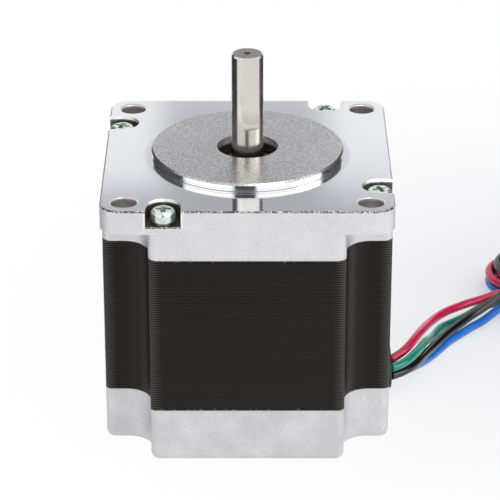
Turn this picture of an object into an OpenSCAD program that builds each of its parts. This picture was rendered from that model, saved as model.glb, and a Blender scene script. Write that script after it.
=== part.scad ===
// Hybrid stepper motor, 57 mm square size, with four flying leads.
// The origin is on the shaft axis in the flange's mounting face. The shaft points up.

/* [Body] */
// Width of the square flange and of the body below it
body_w = 56.4; // [56:0.1:58]
// Length of the lamination stack
stack_l = 32.4; // [32:0.2:60]
// Thickness of the stack's wall at the middle of each side
yoke_t = 3.2; // [3:0.1:4]
// Distance from the bearings' hubs to the stack
hub_space = 1.16; // [1:0.02:2]
// Depth of each corner notch below the flange
notch_w = 9.2; // [8.8:0.1:9.4]
// Radius in the bottom of each corner notch
notch_r = 5; // [3:0.5:6]
// Radius on the caps' upright edges
edge_r = 1.75; // [1.6:0.05:2.5]
// Radius on the stack's upright edges, a little sharper than the caps
lam_edge_r = 1.3; // [0.8:0.1:2]

/* [Flange] */
// Thickness of the flange
flange_t = 4.8; // [4:0.1:5]
// Radius of the flange's corners
flange_r = 4; // [2:0.5:5]
// Chamfer round the mounting face
flange_chamfer = 0.3; // [0.1:0.05:0.5]
// Distance from the mounting holes' centres to the flange's sides
hole_inset = 4.63; // [4.5:0.01:5]
// Diameter of the mounting holes
hole_d = 5.1; // [4.5:0.1:5.5]
// Chamfer at each mounting hole
hole_chamfer = 0.25; // [0.1:0.05:0.5]

/* [Pilot boss] */
// Diameter of the pilot boss
pilot_d = 38.1; // [36:0.1:38.1]
// Height of the pilot boss
pilot_h = 1.6; // [1.4:0.1:2]
// Chamfer round the boss
pilot_chamfer = 0.35; // [0.1:0.05:0.5]
// Bore through the boss, round the shaft
boss_bore_d = 12.14; // [10:0.1:13]
// Depth of the front bearing below the mounting face
bearing_depth = 1.5; // [1:0.1:2]
// Height of the lower turned groove on the boss
groove_low_z = 0.08; // [0.06:0.01:0.2]
// Height of the upper turned groove on the boss
groove_high_z = 0.45; // [0.35:0.01:0.7]
// Width of the turned grooves
groove_w = 0.1; // [0.05:0.01:0.2]
// Depth of the turned grooves
groove_depth = 0.12; // [0.05:0.01:0.2]

/* [Shaft] */
// Diameter of the shaft
shaft_d = 6.35; // [6:0.05:6.4]
// Length of shaft above the mounting face
shaft_out = 21.2; // [18:0.2:30]
// Length of the D flat
flat_l = 15; // [10:0.5:16]
// Depth of the D flat
flat_cut = 0.5; // [0.3:0.05:0.6]
// Direction of the flat, turned from the front towards the right
flat_angle = 14; // [0:1:90]
// Chamfer at the shaft's tip
shaft_chamfer = 0.35; // [0.2:0.05:0.5]
// Diameter of the centre mark in the shaft's tip
centre_d = 1.4; // [1:0.1:2]
// Diameter of the shaft between the bearings
rotor_shaft_d = 8; // [7.6:0.1:8.6]
// Width of the relief groove between the front bearing and the output end
relief_w = 0.7; // [0.6:0.05:0.8]
// Depth of the relief groove
relief_depth = 0.25; // [0.2:0.05:0.3]

/* [Bearings] */
// Distance from the shaft to the bearings' outside
race_section = 6.35; // [6:0.05:6.4]
// Width of each bearing
bearing_w = 7.14; // [7:0.02:7.2]
// Ball diameter as a part of that distance
ball_share = 0.625; // [0.6:0.005:0.63]
// Number of balls
ball_count = 8; // [6:1:8]
// Play between a ball and its grooves
ball_play = 0.03; // [0.02:0.01:0.05]
// Play between a ball and its pocket in the cage
pocket_play = 0.08; // [0.06:0.01:0.12]
// Thickness of the cage under the balls
cage_t = 0.4; // [0.3:0.05:0.5]
// Thickness of the shields
shield_t = 0.25; // [0.2:0.05:0.3]
// Clearance of a bearing in its seat
seat_gap = 0.02; // [0.01:0.01:0.05]
// Space under the rear bearing for the wave washer
washer_h = 0.6; // [0.5:0.05:0.8]
// Thickness of the wave washer
washer_t = 0.25; // [0.2:0.05:0.3]
// Number of waves
wave_count = 3; // [3:1:4]

/* [Rotor] */
// Diameter over the rotor teeth as a part of the diameter over the slots
rotor_share = 0.58; // [0.57:0.002:0.584]
// Height of the rotor and stator teeth
tooth_h = 0.8; // [0.5:0.05:0.9]
// Width of a tooth as a part of the tooth pitch
tooth_share = 0.48; // [0.4:0.02:0.5]
// Distance from the rotor cups' ends to the stack's ends
cup_inset = 0.6; // [0.4:0.1:2]
// Thickness of the magnet between the cups
magnet_t = 2.8; // [2:0.1:3]
// Distance from the magnet's rim to the tooth tips
magnet_inset = 2; // [1.5:0.5:4]

/* [Stator] */
// Gap between the rotor teeth and the stator teeth
air_gap = 0.1; // [0.06:0.01:0.15]
// Teeth on each pole
pole_teeth = 6; // [5:1:6]
// Width of a pole's stem as a part of the slots' radius
stem_share = 0.24; // [0.2:0.01:0.25]
// Thickness of a pole's shoe at the stem as a part of the slots' radius
shoe_share = 0.072; // [0.06:0.002:0.08]
// Thickness of a pole's shoe at its two ends
shoe_end_t = 1; // [0.8:0.1:1.2]

/* [Windings] */
// Space between two coils, square to a pole
coil_gap = 0.58; // [0.5:0.02:1]
// Space between the coils' corners and the bobbins' outer wall
coil_rim_gap = 0.25; // [0.2:0.05:1]
// Outer corner radius of each coil
coil_r = 1.6; // [0.8:0.1:2]
// Wall of the bobbins' sleeves
sleeve_t = 0.48; // [0.3:0.02:0.5]
// Thickness of the bobbins' end plates
bobbin_plate_t = 0.8; // [0.6:0.1:1]
// Thickness of the bobbins' round walls
bobbin_wall_t = 0.4; // [0.3:0.05:0.6]
// Height of the bobbins' round walls past the coils
bobbin_rim = 0.35; // [0.2:0.05:0.8]
// Clearance among bobbin, stem and coil
wind_gap = 0.05; // [0.02:0.01:0.08]

/* [Case screws] */
// Metal between a screw and the corner notch beside it
screw_wall = 1.75; // [1.5:0.05:2]
// Distance from a head to the body's side
head_inset = 0.2; // [0.1:0.05:0.4]
// Thread diameter
screw_d = 2.5; // [2:0.1:2.5]
// Diameter of the head
head_d = 5; // [4.6:0.1:5.2]
// Height of the head
head_h = 2.1; // [1.8:0.1:2.4]
// Radius of the head's dome
head_dome_r = 5.5; // [5:0.5:8]
// Length of the thread in the rear cap
thread_l = 6.5; // [5:0.5:7]
// Space round the head in its pocket
pocket_gap = 0.9; // [0.6:0.1:1]
// Depth of that pocket below the mounting face
pocket_depth = 3.2; // [2.8:0.1:3.2]
// Clearance round the screw in the front cap and the stack
screw_gap = 0.1; // [0.05:0.05:0.2]

/* [Leads] */
// Length of each lead with its bare end
lead_l = 300; // [295:1:305]
// Diameter over a lead's sheath
lead_d = 1.8; // [1.6:0.1:1.9]
// Length of the bare tinned end
tip_l = 8; // [4:0.5:10]
// Diameter of the tinned strands
tip_d = 0.9; // [0.6:0.1:1.1]
// Least length of a coiled lead's last straight stretch
tail_l = 6; // [5:0.5:8]
// Widest radius of the coiled leads' bends
coil_bend_r = 10; // [9.5:0.5:10]
// Distance between turns of the coiled leads
coil_step = 2.3; // [2.28:0.01:2.32]
// Width of the grommet
grommet_w = 12; // [11:0.5:13]
// Height of the grommet
grommet_h = 7; // [6.5:0.5:7.5]
// Thickness of the grommet's lip outside the cap
grommet_lip = 1.25; // [1:0.05:1.5]
// Chamfer round the lip
lip_chamfer = 0.35; // [0.2:0.05:0.5]
// Width of the lip around the plug
lip_w = 0.5; // [0.3:0.1:0.8]

/* [Hidden] */
// Faces on round shapes that stay true circles
$fn = 64;
// Overrun of cuts past a face
cut = 1;

// Heights of the caps, which the bearings set, and of their borders from the mounting face down
bearing_od = shaft_d + 2 * race_section;
hub_past_bearing = 0.5;
rear_floor_t = 1.9;
front_cap_h = bearing_depth + bearing_w + hub_past_bearing + hub_space;
rear_cap_h = rear_floor_t + washer_h + bearing_w + hub_past_bearing + hub_space;
stack_top_z = -front_cap_h;
stack_mid_z = stack_top_z - stack_l / 2;
stack_end_z = stack_top_z - stack_l;
foot_z = stack_end_z - rear_cap_h;

// Outline of the body, whose foot is a little sharper than its upright edges
half_w = body_w / 2;
hole_pitch = body_w - 2 * hole_inset;
edge_over_foot = 0.25;
foot_r = edge_r - edge_over_foot;

// Rotor and stator teeth
rotor_teeth = 50;
pole_count = 8;
slot_r = half_w - yoke_t;
stem_w = stem_share * slot_r;
shoe_t = shoe_share * slot_r;
rotor_d = rotor_share * 2 * slot_r;
magnet_d = rotor_d - 2 * magnet_inset;
cup_l = (stack_l - magnet_t) / 2 - cup_inset;
tooth_pitch_a = 360 / rotor_teeth;
tooth_half_a = tooth_pitch_a * tooth_share / 2;
shoe_half_a = tooth_pitch_a * (pole_teeth - 1) / 2 + tooth_half_a;
stator_bore_r = rotor_d / 2 + air_gap;
tooth_root_r = stator_bore_r + tooth_h;
shoe_r = tooth_root_r + shoe_t;

// Windings
liner_gap = 0.02;
sleeve_half_w = stem_w / 2 + liner_gap + sleeve_t;
coil_in_r = shoe_r + bobbin_wall_t + 2 * wind_gap;
coil_inner_half_w = sleeve_half_w + wind_gap;
coil_outer_half_w = coil_in_r * tan(180 / pole_count) - coil_gap;
coil_t = coil_outer_half_w - coil_inner_half_w;
coil_rim_r = slot_r - bobbin_wall_t - coil_rim_gap;
coil_l = sqrt(pow(coil_rim_r, 2) - pow(coil_outer_half_w, 2)) - coil_in_r;
coil_inner_half_l = stack_l / 2 + bobbin_plate_t + wind_gap;
coil_corner_r = 0.6;
bobbin_h = bobbin_plate_t + wind_gap + coil_t + bobbin_rim;

// Walls inside the caps
hub_wall = 3;
bay_gap = 0.1;
seat_r = bearing_od / 2 + seat_gap;
hub_r = seat_r + hub_wall;
bay_r = slot_r + bay_gap;
bay_h = bobbin_h + bay_gap;
bay_floor_z = stack_end_z - bay_h;

// Bearings
ball_d = ball_share * race_section;
ball_r = ball_d / 2;
bearing_pitch_r = (bearing_od + shaft_d) / 4;
groove_r = ball_r + ball_play;
race_shoulder = 0.85;
inner_shoulder_r = bearing_pitch_r - groove_r + race_shoulder;
outer_shoulder_r = bearing_pitch_r + groove_r - race_shoulder;
shield_recess = 0.6;
shield_seat_w = 0.4;
shield_gap = 0.15;
inner_face_step = 0.7;
inner_face_r = inner_shoulder_r - inner_face_step;
shield_ir = inner_face_r + shield_gap;
cage_half_w = 0.75;
cage_lip_h = 0.9;
front_bearing_z = -bearing_depth - bearing_w / 2;
rear_seat_z = foot_z + rear_floor_t;
rear_bearing_z = rear_seat_z + washer_h + bearing_w / 2;
hub_end_z = front_bearing_z - bearing_w / 2 - hub_past_bearing;
rear_hub_z = rear_bearing_z + bearing_w / 2 + hub_past_bearing;
washer_rim_gap = 0.2;
washer_ring_w = 1.4;
washer_steps = 48;

// Shaft, whose round wall starts at a line clear of the flat
seam_a = -8.5;
shaft_end_gap = 0.3;
relief_above_bearing = 0.2;
centre_depth_share = 0.5;
journal_end_z = rear_bearing_z - bearing_w / 2 + shaft_end_gap;
shoulder_l = front_bearing_z - rear_bearing_z - bearing_w;

// Case screws
screw_along = half_w - notch_w - screw_wall - screw_d / 2;
screw_out = half_w - head_inset - head_d / 2;
screw_l = front_cap_h + stack_l - pocket_depth + thread_l;
pocket_w = head_d + 2 * pocket_gap;
thread_gap = 0.02;
thread_past_screw = 0.8;
recess_span = 2.9;
recess_foot = 1.1;
recess_slot_w = 0.75;
recess_depth = 1.2;

// Grommet
grommet_from_stack = 1.3;
grommet_z = stack_end_z - grommet_from_stack - grommet_h / 2;
plug_w = grommet_w - 2 * lip_w;
plug_h = grommet_h - 2 * lip_w;
plug_gap = 0.02;
plug_l = half_w - bay_r;
lead_face_x = half_w + grommet_lip;

// Free stretches of the leads: distance out from the grommet's face, back from
// the shaft axis and up from the surface that the motor stands on
red_route = [
    [0, 0.6, 7.6], [1.5, 1.7, 7.9], [3, 3.3, 8.2], [4.5, 5.8, 8.6], [6, 9.6, 8.6],
    [8, 16.4, 7.1], [10, 22.5, 5.6], [12, 26.3, 5.1], [14, 28.9, 4.9], [16.5, 31.1, 4.7],
    [19, 33, 4.8], [22.1, 34.7, 4.7], [25.3, 36.4, 5.4], [29, 37.1, 5.4], [32.6, 37, 4.9]];
green_route = [
    [0, -3.4, 7.8], [1.5, -2.5, 7.7], [3, -0.9, 7.7], [4.5, 1.6, 7.8], [6, 5.4, 7.2],
    [8, 14.6, 4.6], [10, 20.6, 2.4], [12, 26.1, 2], [14, 29.1, 1.4], [16.5, 31.6, 1.2],
    [19, 33.8, 1.4], [22.8, 37, 2.3], [26.5, 38.5, 1.8], [30.9, 37.9, 1], [35, 37, 0.9]];
blue_route = [
    [0, -0.3, 5], [1.5, 0.7, 4.7], [3, 2.3, 4.2], [4.5, 4.8, 3.4], [6, 8.1, 2.4],
    [8, 12, 1.4], [10, 15.5, 1], [12, 18.9, 1], [14, 22, 1.2], [16.5, 24.8, 1.2],
    [19, 27.5, 1.6], [22.1, 30.4, 1.7], [25.3, 34, 2.7], [29, 36.4, 2.9], [32.6, 37, 2.9]];
black_route = [
    [0, -2.9, 5.7], [1.5, -2, 5.6], [3, -0.7, 5.6], [4.5, 1.4, 5.5], [6, 4.4, 5.2],
    [8, 10.2, 4], [10, 14.9, 3.4], [12, 18.8, 3.3], [14, 22.3, 3.3], [16.5, 25.9, 3.2],
    [19, 28.9, 3.7], [22.6, 31.7, 4.6], [26.2, 34.3, 6.3], [30.4, 36.2, 7.1], [34.4, 37, 6.9]];
route_sides = 8;
coil_sides = 6;
coil_turns = 2;
run_rings = 3;
bend_rings = 8;

// Outlines and edges

// The corner between two faces that a round edge of radius r takes away
module edge_waste(r) {
    difference() {
        square([r + cut, r + cut]);
        circle(r = r);
    }
}

// A square with four notched corners
module body_outline(edge) {
    difference() {
        square([body_w, body_w], center = true);
        for (side = [0:3])
            rotate(90 * side)
                corner_notch(edge);
    }
}

// One notch with its rounded bottom, and the two round edges beside it
module corner_notch(edge) {
    face = half_w;
    inner = half_w - notch_w;
    centre = inner + notch_r;
    translate([centre, centre])
        circle(r = notch_r);
    translate([centre, inner])
        square([face - centre + cut, notch_w + cut]);
    translate([inner, centre])
        square([notch_w + cut, face - centre + cut]);
    translate([face - edge, inner - edge])
        edge_waste(edge);
    translate([inner - edge, face - edge])
        edge_waste(edge);
}

// A plate with round corners whose upper edge is chamfered
module chamfered_plate(w, d, t, r, chamfer) {
    linear_extrude(t - chamfer) {
        square([w - 2 * r, d], center = true);
        square([w, d - 2 * r], center = true);
        round_corners(w, d, r)
            circle(r = r);
    }
    translate([0, 0, t - chamfer]) {
        rotate([90, 0, 0])
            linear_extrude(d - 2 * r, center = true)
                chamfer_profile(w, chamfer);
        rotate([90, 0, 90])
            linear_extrude(w - 2 * r, center = true)
                chamfer_profile(d, chamfer);
        round_corners(w, d, r)
            cylinder(h = chamfer, r1 = r, r2 = r - chamfer);
    }
}

module chamfer_profile(w, chamfer) {
    polygon([[-w / 2, 0], [w / 2, 0], [w / 2 - chamfer, chamfer], [chamfer - w / 2, chamfer]]);
}

module round_corners(w, d, r) {
    for (x = [r - w / 2, w / 2 - r], y = [r - d / 2, d / 2 - r])
        translate([x, y, 0])
            children();
}

// Front cap

module front_cap() {
    color("gainsboro")
        difference() {
            union() {
                translate([0, 0, -flange_t])
                    chamfered_plate(body_w, body_w, flange_t, flange_r, flange_chamfer);
                translate([0, 0, stack_top_z])
                    linear_extrude(front_cap_h - flange_chamfer)
                        body_outline(edge_r);
                pilot_boss();
            }
            translate([0, 0, stack_top_z - cut])
                ring_bay(bay_h + cut);
            translate([0, 0, stack_top_z - cut])
                cylinder(h = hub_end_z - stack_top_z + cut, r = hub_r + cut);
            bearing_seat();
            mounting_holes();
            screw_places()
                screw_pocket();
        }
}

// The ring-shaped space for the ends of the coils
module ring_bay(h) {
    difference() {
        cylinder(h = h, r = bay_r);
        translate([0, 0, -cut])
            cylinder(h = h + 2 * cut, r = hub_r);
    }
}

module pilot_boss() {
    difference() {
        union() {
            translate([0, 0, -flange_chamfer])
                cylinder(h = flange_chamfer + pilot_h - pilot_chamfer, d = pilot_d);
            translate([0, 0, pilot_h - pilot_chamfer])
                cylinder(h = pilot_chamfer, r1 = pilot_d / 2, r2 = pilot_d / 2 - pilot_chamfer);
        }
        for (z = [groove_low_z, groove_high_z])
            translate([0, 0, z])
                turned_groove();
    }
}

module turned_groove() {
    difference() {
        translate([0, 0, -groove_w / 2])
            cylinder(h = groove_w, r = pilot_d / 2 + cut);
        translate([0, 0, -groove_w])
            cylinder(h = 2 * groove_w, r = pilot_d / 2 - groove_depth);
    }
}

module bearing_seat() {
    translate([0, 0, stack_top_z - cut])
        cylinder(h = cut - stack_top_z - bearing_depth, r = seat_r);
    translate([0, 0, -bearing_depth - cut])
        cylinder(h = bearing_depth + pilot_h + 2 * cut, d = boss_bore_d);
}

module mounting_holes() {
    for (x = [-hole_pitch / 2, hole_pitch / 2], y = [-hole_pitch / 2, hole_pitch / 2])
        translate([x, y, 0]) {
            translate([0, 0, -flange_t - cut])
                cylinder(h = flange_t + 2 * cut, d = hole_d);
            translate([0, 0, -hole_chamfer])
                cylinder(h = hole_chamfer + cut, r1 = hole_d / 2, r2 = hole_d / 2 + hole_chamfer + cut);
        }
}

// The four screws, one to each side, each off to the left of its side's middle
module screw_places() {
    for (side = [0:3])
        rotate(90 * side)
            translate([-screw_along, -screw_out, 0])
                children();
}

// A pocket open to the side, and the clearance hole under it
module screw_pocket() {
    translate([0, 0, -pocket_depth])
        linear_extrude(pocket_depth + cut) {
            circle(d = pocket_w);
            translate([-pocket_w / 2, -pocket_w])
                square([pocket_w, pocket_w]);
        }
    translate([0, 0, stack_end_z - cut])
        cylinder(h = -stack_end_z, r = screw_d / 2 + screw_gap);
}

// Stator stack

module stator_stack() {
    color([0.17, 0.15, 0.14])
        translate([0, 0, stack_end_z])
            linear_extrude(stack_l)
                difference() {
                    union() {
                        difference() {
                            body_outline(lam_edge_r);
                            circle(r = slot_r);
                        }
                        for (pole = [0:pole_count - 1])
                            rotate(360 / pole_count * pole)
                                polygon(pole_outline());
                    }
                    screw_places()
                        circle(r = screw_d / 2 + screw_gap);
                }
}

function polar(r, a) = [r * cos(a), r * sin(a)];

// The four corners of a tooth at angle a, from its root to its tip and back
function tooth(a, root_r, tip_r, half_a) = [
    polar(root_r, a - half_a), polar(tip_r, a - half_a),
    polar(tip_r, a + half_a), polar(root_r, a + half_a)];

// A pole that points along X: its toothed shoe, and its stem out into the yoke
function pole_outline() = concat(
    [for (i = [pole_teeth - 1:-1:0])
        each tooth(tooth_pitch_a * (i - (pole_teeth - 1) / 2), tooth_root_r, stator_bore_r, -tooth_half_a)],
    [polar(tooth_root_r + shoe_end_t, -shoe_half_a),
     [shoe_r, -stem_w / 2],
     [slot_r + cut, -stem_w / 2],
     [slot_r + cut, stem_w / 2],
     [shoe_r, stem_w / 2],
     polar(tooth_root_r + shoe_end_t, shoe_half_a)]);

// Rear cap

module rear_cap() {
    color("gainsboro")
        difference() {
            union() {
                translate([0, 0, foot_z + foot_r])
                    linear_extrude(rear_cap_h - foot_r)
                        body_outline(edge_r);
                translate([0, 0, foot_z])
                    rounded_foot();
            }
            translate([0, 0, bay_floor_z])
                ring_bay(bay_h + cut);
            translate([0, 0, rear_hub_z])
                cylinder(h = stack_end_z - rear_hub_z + cut, r = hub_r + cut);
            translate([0, 0, rear_seat_z])
                cylinder(h = rear_cap_h, r = seat_r);
            screw_places()
                translate([0, 0, -pocket_depth - screw_l - thread_past_screw])
                    cylinder(h = screw_l, r = screw_d / 2 + thread_gap);
            translate([bay_r - cut, 0, grommet_z])
                rotate([90, 0, 90])
                    linear_extrude(plug_l + 2 * cut)
                        stadium(plug_w + 2 * plug_gap, plug_h + 2 * plug_gap);
        }
}

// The lowest slice of the cap, round all along its lower edge
module rounded_foot() {
    long = body_w;
    short = body_w - 2 * notch_w;
    rounded_bar(long, short);
    rounded_bar(short, long);
    for (side = [0:3])
        rotate(90 * side)
            notch_foot();
}

// One bar of the cross, with round corners and a round lower edge
module rounded_bar(w, d) {
    rotate([90, 0, 0])
        linear_extrude(d - 2 * edge_r, center = true)
            foot_profile(w);
    rotate([90, 0, 90])
        linear_extrude(w - 2 * edge_r, center = true)
            foot_profile(d);
    round_corners(w, d, edge_r)
        rotate_extrude()
            half_foot_profile();
}

module foot_profile(w) {
    translate([foot_r - w / 2, 0])
        square([w - 2 * foot_r, foot_r]);
    intersection() {
        translate([-w / 2, 0])
            square([w, foot_r]);
        for (x = [foot_r - w / 2, w / 2 - foot_r])
            translate([x, foot_r])
                circle(r = foot_r);
    }
}

module half_foot_profile() {
    intersection() {
        square([edge_r, foot_r]);
        union() {
            square([edge_r - foot_r, foot_r]);
            translate([edge_r - foot_r, foot_r])
                circle(r = foot_r);
        }
    }
}

// The filled corner between two bars, with the lower edge of its hollow round
module notch_foot() {
    inner = half_w - notch_w;
    centre = inner + notch_r;
    difference() {
        translate([inner - notch_r, inner - notch_r, 0])
            cube([2 * notch_r, 2 * notch_r, foot_r]);
        translate([centre, centre, -cut])
            cylinder(h = foot_r + 2 * cut, r = notch_r);
        translate([centre, centre, 0])
            rotate_extrude()
                translate([notch_r + foot_r, foot_r])
                    rotate(180)
                        edge_waste(foot_r);
    }
}

// Screws

module case_screws() {
    color([0.80, 0.83, 0.78])
        screw_places()
            translate([0, 0, -pocket_depth])
                case_screw();
}

module case_screw() {
    difference() {
        rotate_extrude()
            intersection() {
                square([head_d / 2, head_h]);
                translate([0, head_h - head_dome_r])
                    circle(r = head_dome_r);
            }
        translate([0, 0, head_h - recess_depth])
            cross_recess();
    }
    translate([0, 0, -screw_l])
        cylinder(h = screw_l + head_h - recess_depth - recess_slot_w / 2, d = screw_d);
}

// Two crossed slots that narrow towards their floor
module cross_recess() {
    for (turn = [0, 90])
        rotate([90, 0, turn])
            linear_extrude(recess_slot_w, center = true)
                polygon([
                    [-recess_foot / 2, 0], [recess_foot / 2, 0],
                    [recess_span / 2, recess_depth], [recess_span / 2, recess_depth + cut],
                    [-recess_span / 2, recess_depth + cut], [-recess_span / 2, recess_depth]]);
}

// Rotor

module shaft() {
    color("silver")
        difference() {
            rotate(seam_a)
                turned_shaft();
            rotate(flat_angle)
                translate([-shaft_d, -shaft_d / 2 - cut, shaft_out - flat_l])
                    cube([2 * shaft_d, flat_cut + cut, flat_l + cut]);
            translate([0, 0, shaft_out - centre_d * centre_depth_share])
                cylinder(h = centre_d * centre_depth_share, r1 = 0, r2 = centre_d / 2);
            translate([0, 0, relief_above_bearing - bearing_depth])
                relief_groove();
        }
}

// The round stock, with the thick part between the bearings
module turned_shaft() {
    translate([0, 0, journal_end_z])
        cylinder(h = shaft_out - shaft_chamfer - journal_end_z, d = shaft_d);
    translate([0, 0, shaft_out - shaft_chamfer])
        cylinder(h = shaft_chamfer, r1 = shaft_d / 2, r2 = shaft_d / 2 - shaft_chamfer);
    translate([0, 0, rear_bearing_z + bearing_w / 2])
        cylinder(h = shoulder_l, d = rotor_shaft_d);
}

module relief_groove() {
    difference() {
        cylinder(h = relief_w, r = shaft_d / 2 + cut);
        translate([0, 0, -cut])
            cylinder(h = relief_w + 2 * cut, r = shaft_d / 2 - relief_depth);
    }
}

// A toothed disc on the shaft
module rotor_cup() {
    linear_extrude(cup_l)
        difference() {
            polygon([for (i = [0:rotor_teeth - 1])
                each tooth(tooth_pitch_a * i, rotor_d / 2 - tooth_h, rotor_d / 2, tooth_half_a)]);
            circle(d = rotor_shaft_d);
        }
}

module rotor_cup_front() {
    color("slategray")
        translate([0, 0, stack_mid_z + magnet_t / 2])
            rotor_cup();
}

// The rear cup's teeth stand half a tooth away from the front cup's
module rotor_cup_rear() {
    color("slategray")
        translate([0, 0, stack_mid_z - magnet_t / 2 - cup_l])
            rotate(tooth_pitch_a / 2)
                rotor_cup();
}

module rotor_magnet() {
    color("dimgray")
        translate([0, 0, stack_mid_z - magnet_t / 2])
            difference() {
                cylinder(h = magnet_t, d = magnet_d);
                translate([0, 0, -cut])
                    cylinder(h = magnet_t + 2 * cut, d = rotor_shaft_d);
            }
}

// Windings

// A plastic frame on one end of the poles, with sleeves that reach to the stack's middle
module bobbin() {
    for (wall_r = [shoe_r, slot_r - bobbin_wall_t])
        difference() {
            cylinder(h = bobbin_h, r = wall_r + bobbin_wall_t);
            translate([0, 0, -cut])
                cylinder(h = bobbin_h + 2 * cut, r = wall_r);
        }
    for (pole = [0:pole_count - 1])
        rotate(360 / pole_count * pole)
            sleeve();
}

module sleeve() {
    sleeve_l = slot_r - bobbin_wall_t / 2 - shoe_r - bobbin_wall_t / 2;
    translate([shoe_r + bobbin_wall_t / 2, -sleeve_half_w, 0])
        cube([sleeve_l, 2 * sleeve_half_w, bobbin_plate_t]);
    for (side = [0, 1])
        mirror([0, side, 0])
            sleeve_wall();
}

// One wall of a sleeve, beside the stem and inside the slot
module sleeve_wall() {
    wall_l = stack_l / 2 - wind_gap;
    translate([coil_in_r - wind_gap, stem_w / 2 + liner_gap, -wall_l])
        cube([coil_l + wind_gap, sleeve_t, wall_l]);
}

module front_bobbin() {
    color("ivory")
        translate([0, 0, stack_top_z])
            bobbin();
}

module rear_bobbin() {
    color("ivory")
        translate([0, 0, stack_end_z])
            mirror([0, 0, 1])
                bobbin();
}

// A coil round one pole: a rectangular ring that stands along the shaft
module pole_coil() {
    outer_l = 2 * (coil_inner_half_l + coil_t);
    translate([coil_in_r, 0, stack_mid_z])
        rotate([90, 0, 90])
            linear_extrude(coil_l)
                difference() {
                    rounded_square(2 * coil_outer_half_w, outer_l, coil_r);
                    rounded_square(2 * coil_inner_half_w, 2 * coil_inner_half_l, coil_corner_r);
                }
}

module rounded_square(w, d, r) {
    square([w - 2 * r, d], center = true);
    square([w, d - 2 * r], center = true);
    round_corners(w, d, r)
        circle(r = r);
}

// Every second pole belongs to the same phase
module phase(first) {
    for (pole = [first:2:pole_count - 1])
        rotate(360 / pole_count * pole)
            pole_coil();
}

module coils_phase_a() {
    color("chocolate") phase(0);
}

module coils_phase_b() {
    color("peru") phase(1);
}

// Bearings, each about its own middle

module outer_race() {
    rotate_extrude()
        difference() {
            translate([outer_shoulder_r, -bearing_w / 2])
                square([bearing_od / 2 - outer_shoulder_r, bearing_w]);
            translate([bearing_pitch_r, 0])
                circle(r = groove_r);
            for (face = [-bearing_w / 2 - cut, bearing_w / 2 - shield_recess])
                translate([outer_shoulder_r - cut, face])
                    square([shield_seat_w + cut, shield_recess + cut]);
        }
}

module inner_race() {
    rotate_extrude()
        difference() {
            translate([shaft_d / 2, -bearing_w / 2])
                square([inner_shoulder_r - shaft_d / 2, bearing_w]);
            translate([bearing_pitch_r, 0])
                circle(r = groove_r);
            for (face = [-bearing_w / 2 - cut, bearing_w / 2 - shield_recess])
                translate([inner_face_r, face])
                    square([inner_face_step + cut, shield_recess + cut]);
        }
}

module balls() {
    for (i = [0:ball_count - 1])
        rotate(360 / ball_count * i)
            translate([bearing_pitch_r, 0, 0])
                sphere(r = ball_r);
}

// A crown between the races: every ball snaps into a pocket that is open to one side
module ball_cage() {
    pocket_r = ball_r + pocket_play;
    difference() {
        translate([0, 0, -pocket_r - cage_t])
            cylinder(h = pocket_r + cage_t + cage_lip_h, r = bearing_pitch_r + cage_half_w);
        translate([0, 0, -bearing_w / 2])
            cylinder(h = bearing_w, r = bearing_pitch_r - cage_half_w);
        for (i = [0:ball_count - 1])
            rotate(360 / ball_count * i)
                translate([bearing_pitch_r, 0, 0])
                    sphere(r = pocket_r);
    }
}

// Two thin discs in the outer race's recesses, clear of the inner race
module shields() {
    for (side = [0, 1])
        mirror([0, 0, side])
            translate([0, 0, bearing_w / 2 - shield_recess])
                difference() {
                    cylinder(h = shield_t, r = outer_shoulder_r + shield_seat_w);
                    translate([0, 0, -cut])
                        cylinder(h = shield_t + 2 * cut, r = shield_ir);
                }
}

module at_front_bearing() {
    translate([0, 0, front_bearing_z])
        children();
}

module at_rear_bearing() {
    translate([0, 0, rear_bearing_z])
        children();
}

module front_outer_race() {
    color("silver") at_front_bearing() outer_race();
}

module front_inner_race() {
    color("silver") at_front_bearing() inner_race();
}

module front_balls() {
    color("whitesmoke") at_front_bearing() balls();
}

module front_cage() {
    color("darkkhaki") at_front_bearing() ball_cage();
}

module front_shields() {
    color("lightgray") at_front_bearing() shields();
}

module rear_outer_race() {
    color("silver") at_rear_bearing() outer_race();
}

module rear_inner_race() {
    color("silver") at_rear_bearing() inner_race();
}

module rear_balls() {
    color("whitesmoke") at_rear_bearing() balls();
}

module rear_cage() {
    color("darkkhaki") at_rear_bearing() ball_cage();
}

module rear_shields() {
    color("lightgray") at_rear_bearing() shields();
}

// A flat ring bent into waves, which presses on the rear outer race
module wave_washer() {
    outer_r = bearing_od / 2 - washer_rim_gap;
    inner_r = outer_r - washer_ring_w;
    swing = (washer_h - washer_t) / 2;
    corners = [for (i = [0:washer_steps - 1])
        let (a = 360 / washer_steps * i, z = rear_seat_z + swing * (1 - cos(wave_count * a)))
        each [[inner_r * cos(a), inner_r * sin(a), z],
              [outer_r * cos(a), outer_r * sin(a), z],
              [outer_r * cos(a), outer_r * sin(a), z + washer_t],
              [inner_r * cos(a), inner_r * sin(a), z + washer_t]]];
    color("darkgray")
        polyhedron(corners, closed_sweep_faces(washer_steps, 4));
}

// Leads

module stadium(w, h) {
    square([w - h, h], center = true);
    for (x = [(h - w) / 2, (w - h) / 2])
        translate([x, 0])
            circle(d = h);
}

module lead_grommet() {
    color([0.1, 0.1, 0.1])
        translate([0, 0, grommet_z])
            rotate([90, 0, 90]) {
                translate([0, 0, bay_r])
                    linear_extrude(plug_l)
                        stadium(plug_w, plug_h);
                translate([0, 0, half_w])
                    linear_extrude(grommet_lip - lip_chamfer)
                        stadium(grommet_w, grommet_h);
                translate([0, 0, lead_face_x - lip_chamfer])
                    chamfered_stadium(grommet_w, grommet_h, lip_chamfer);
            }
}

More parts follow.
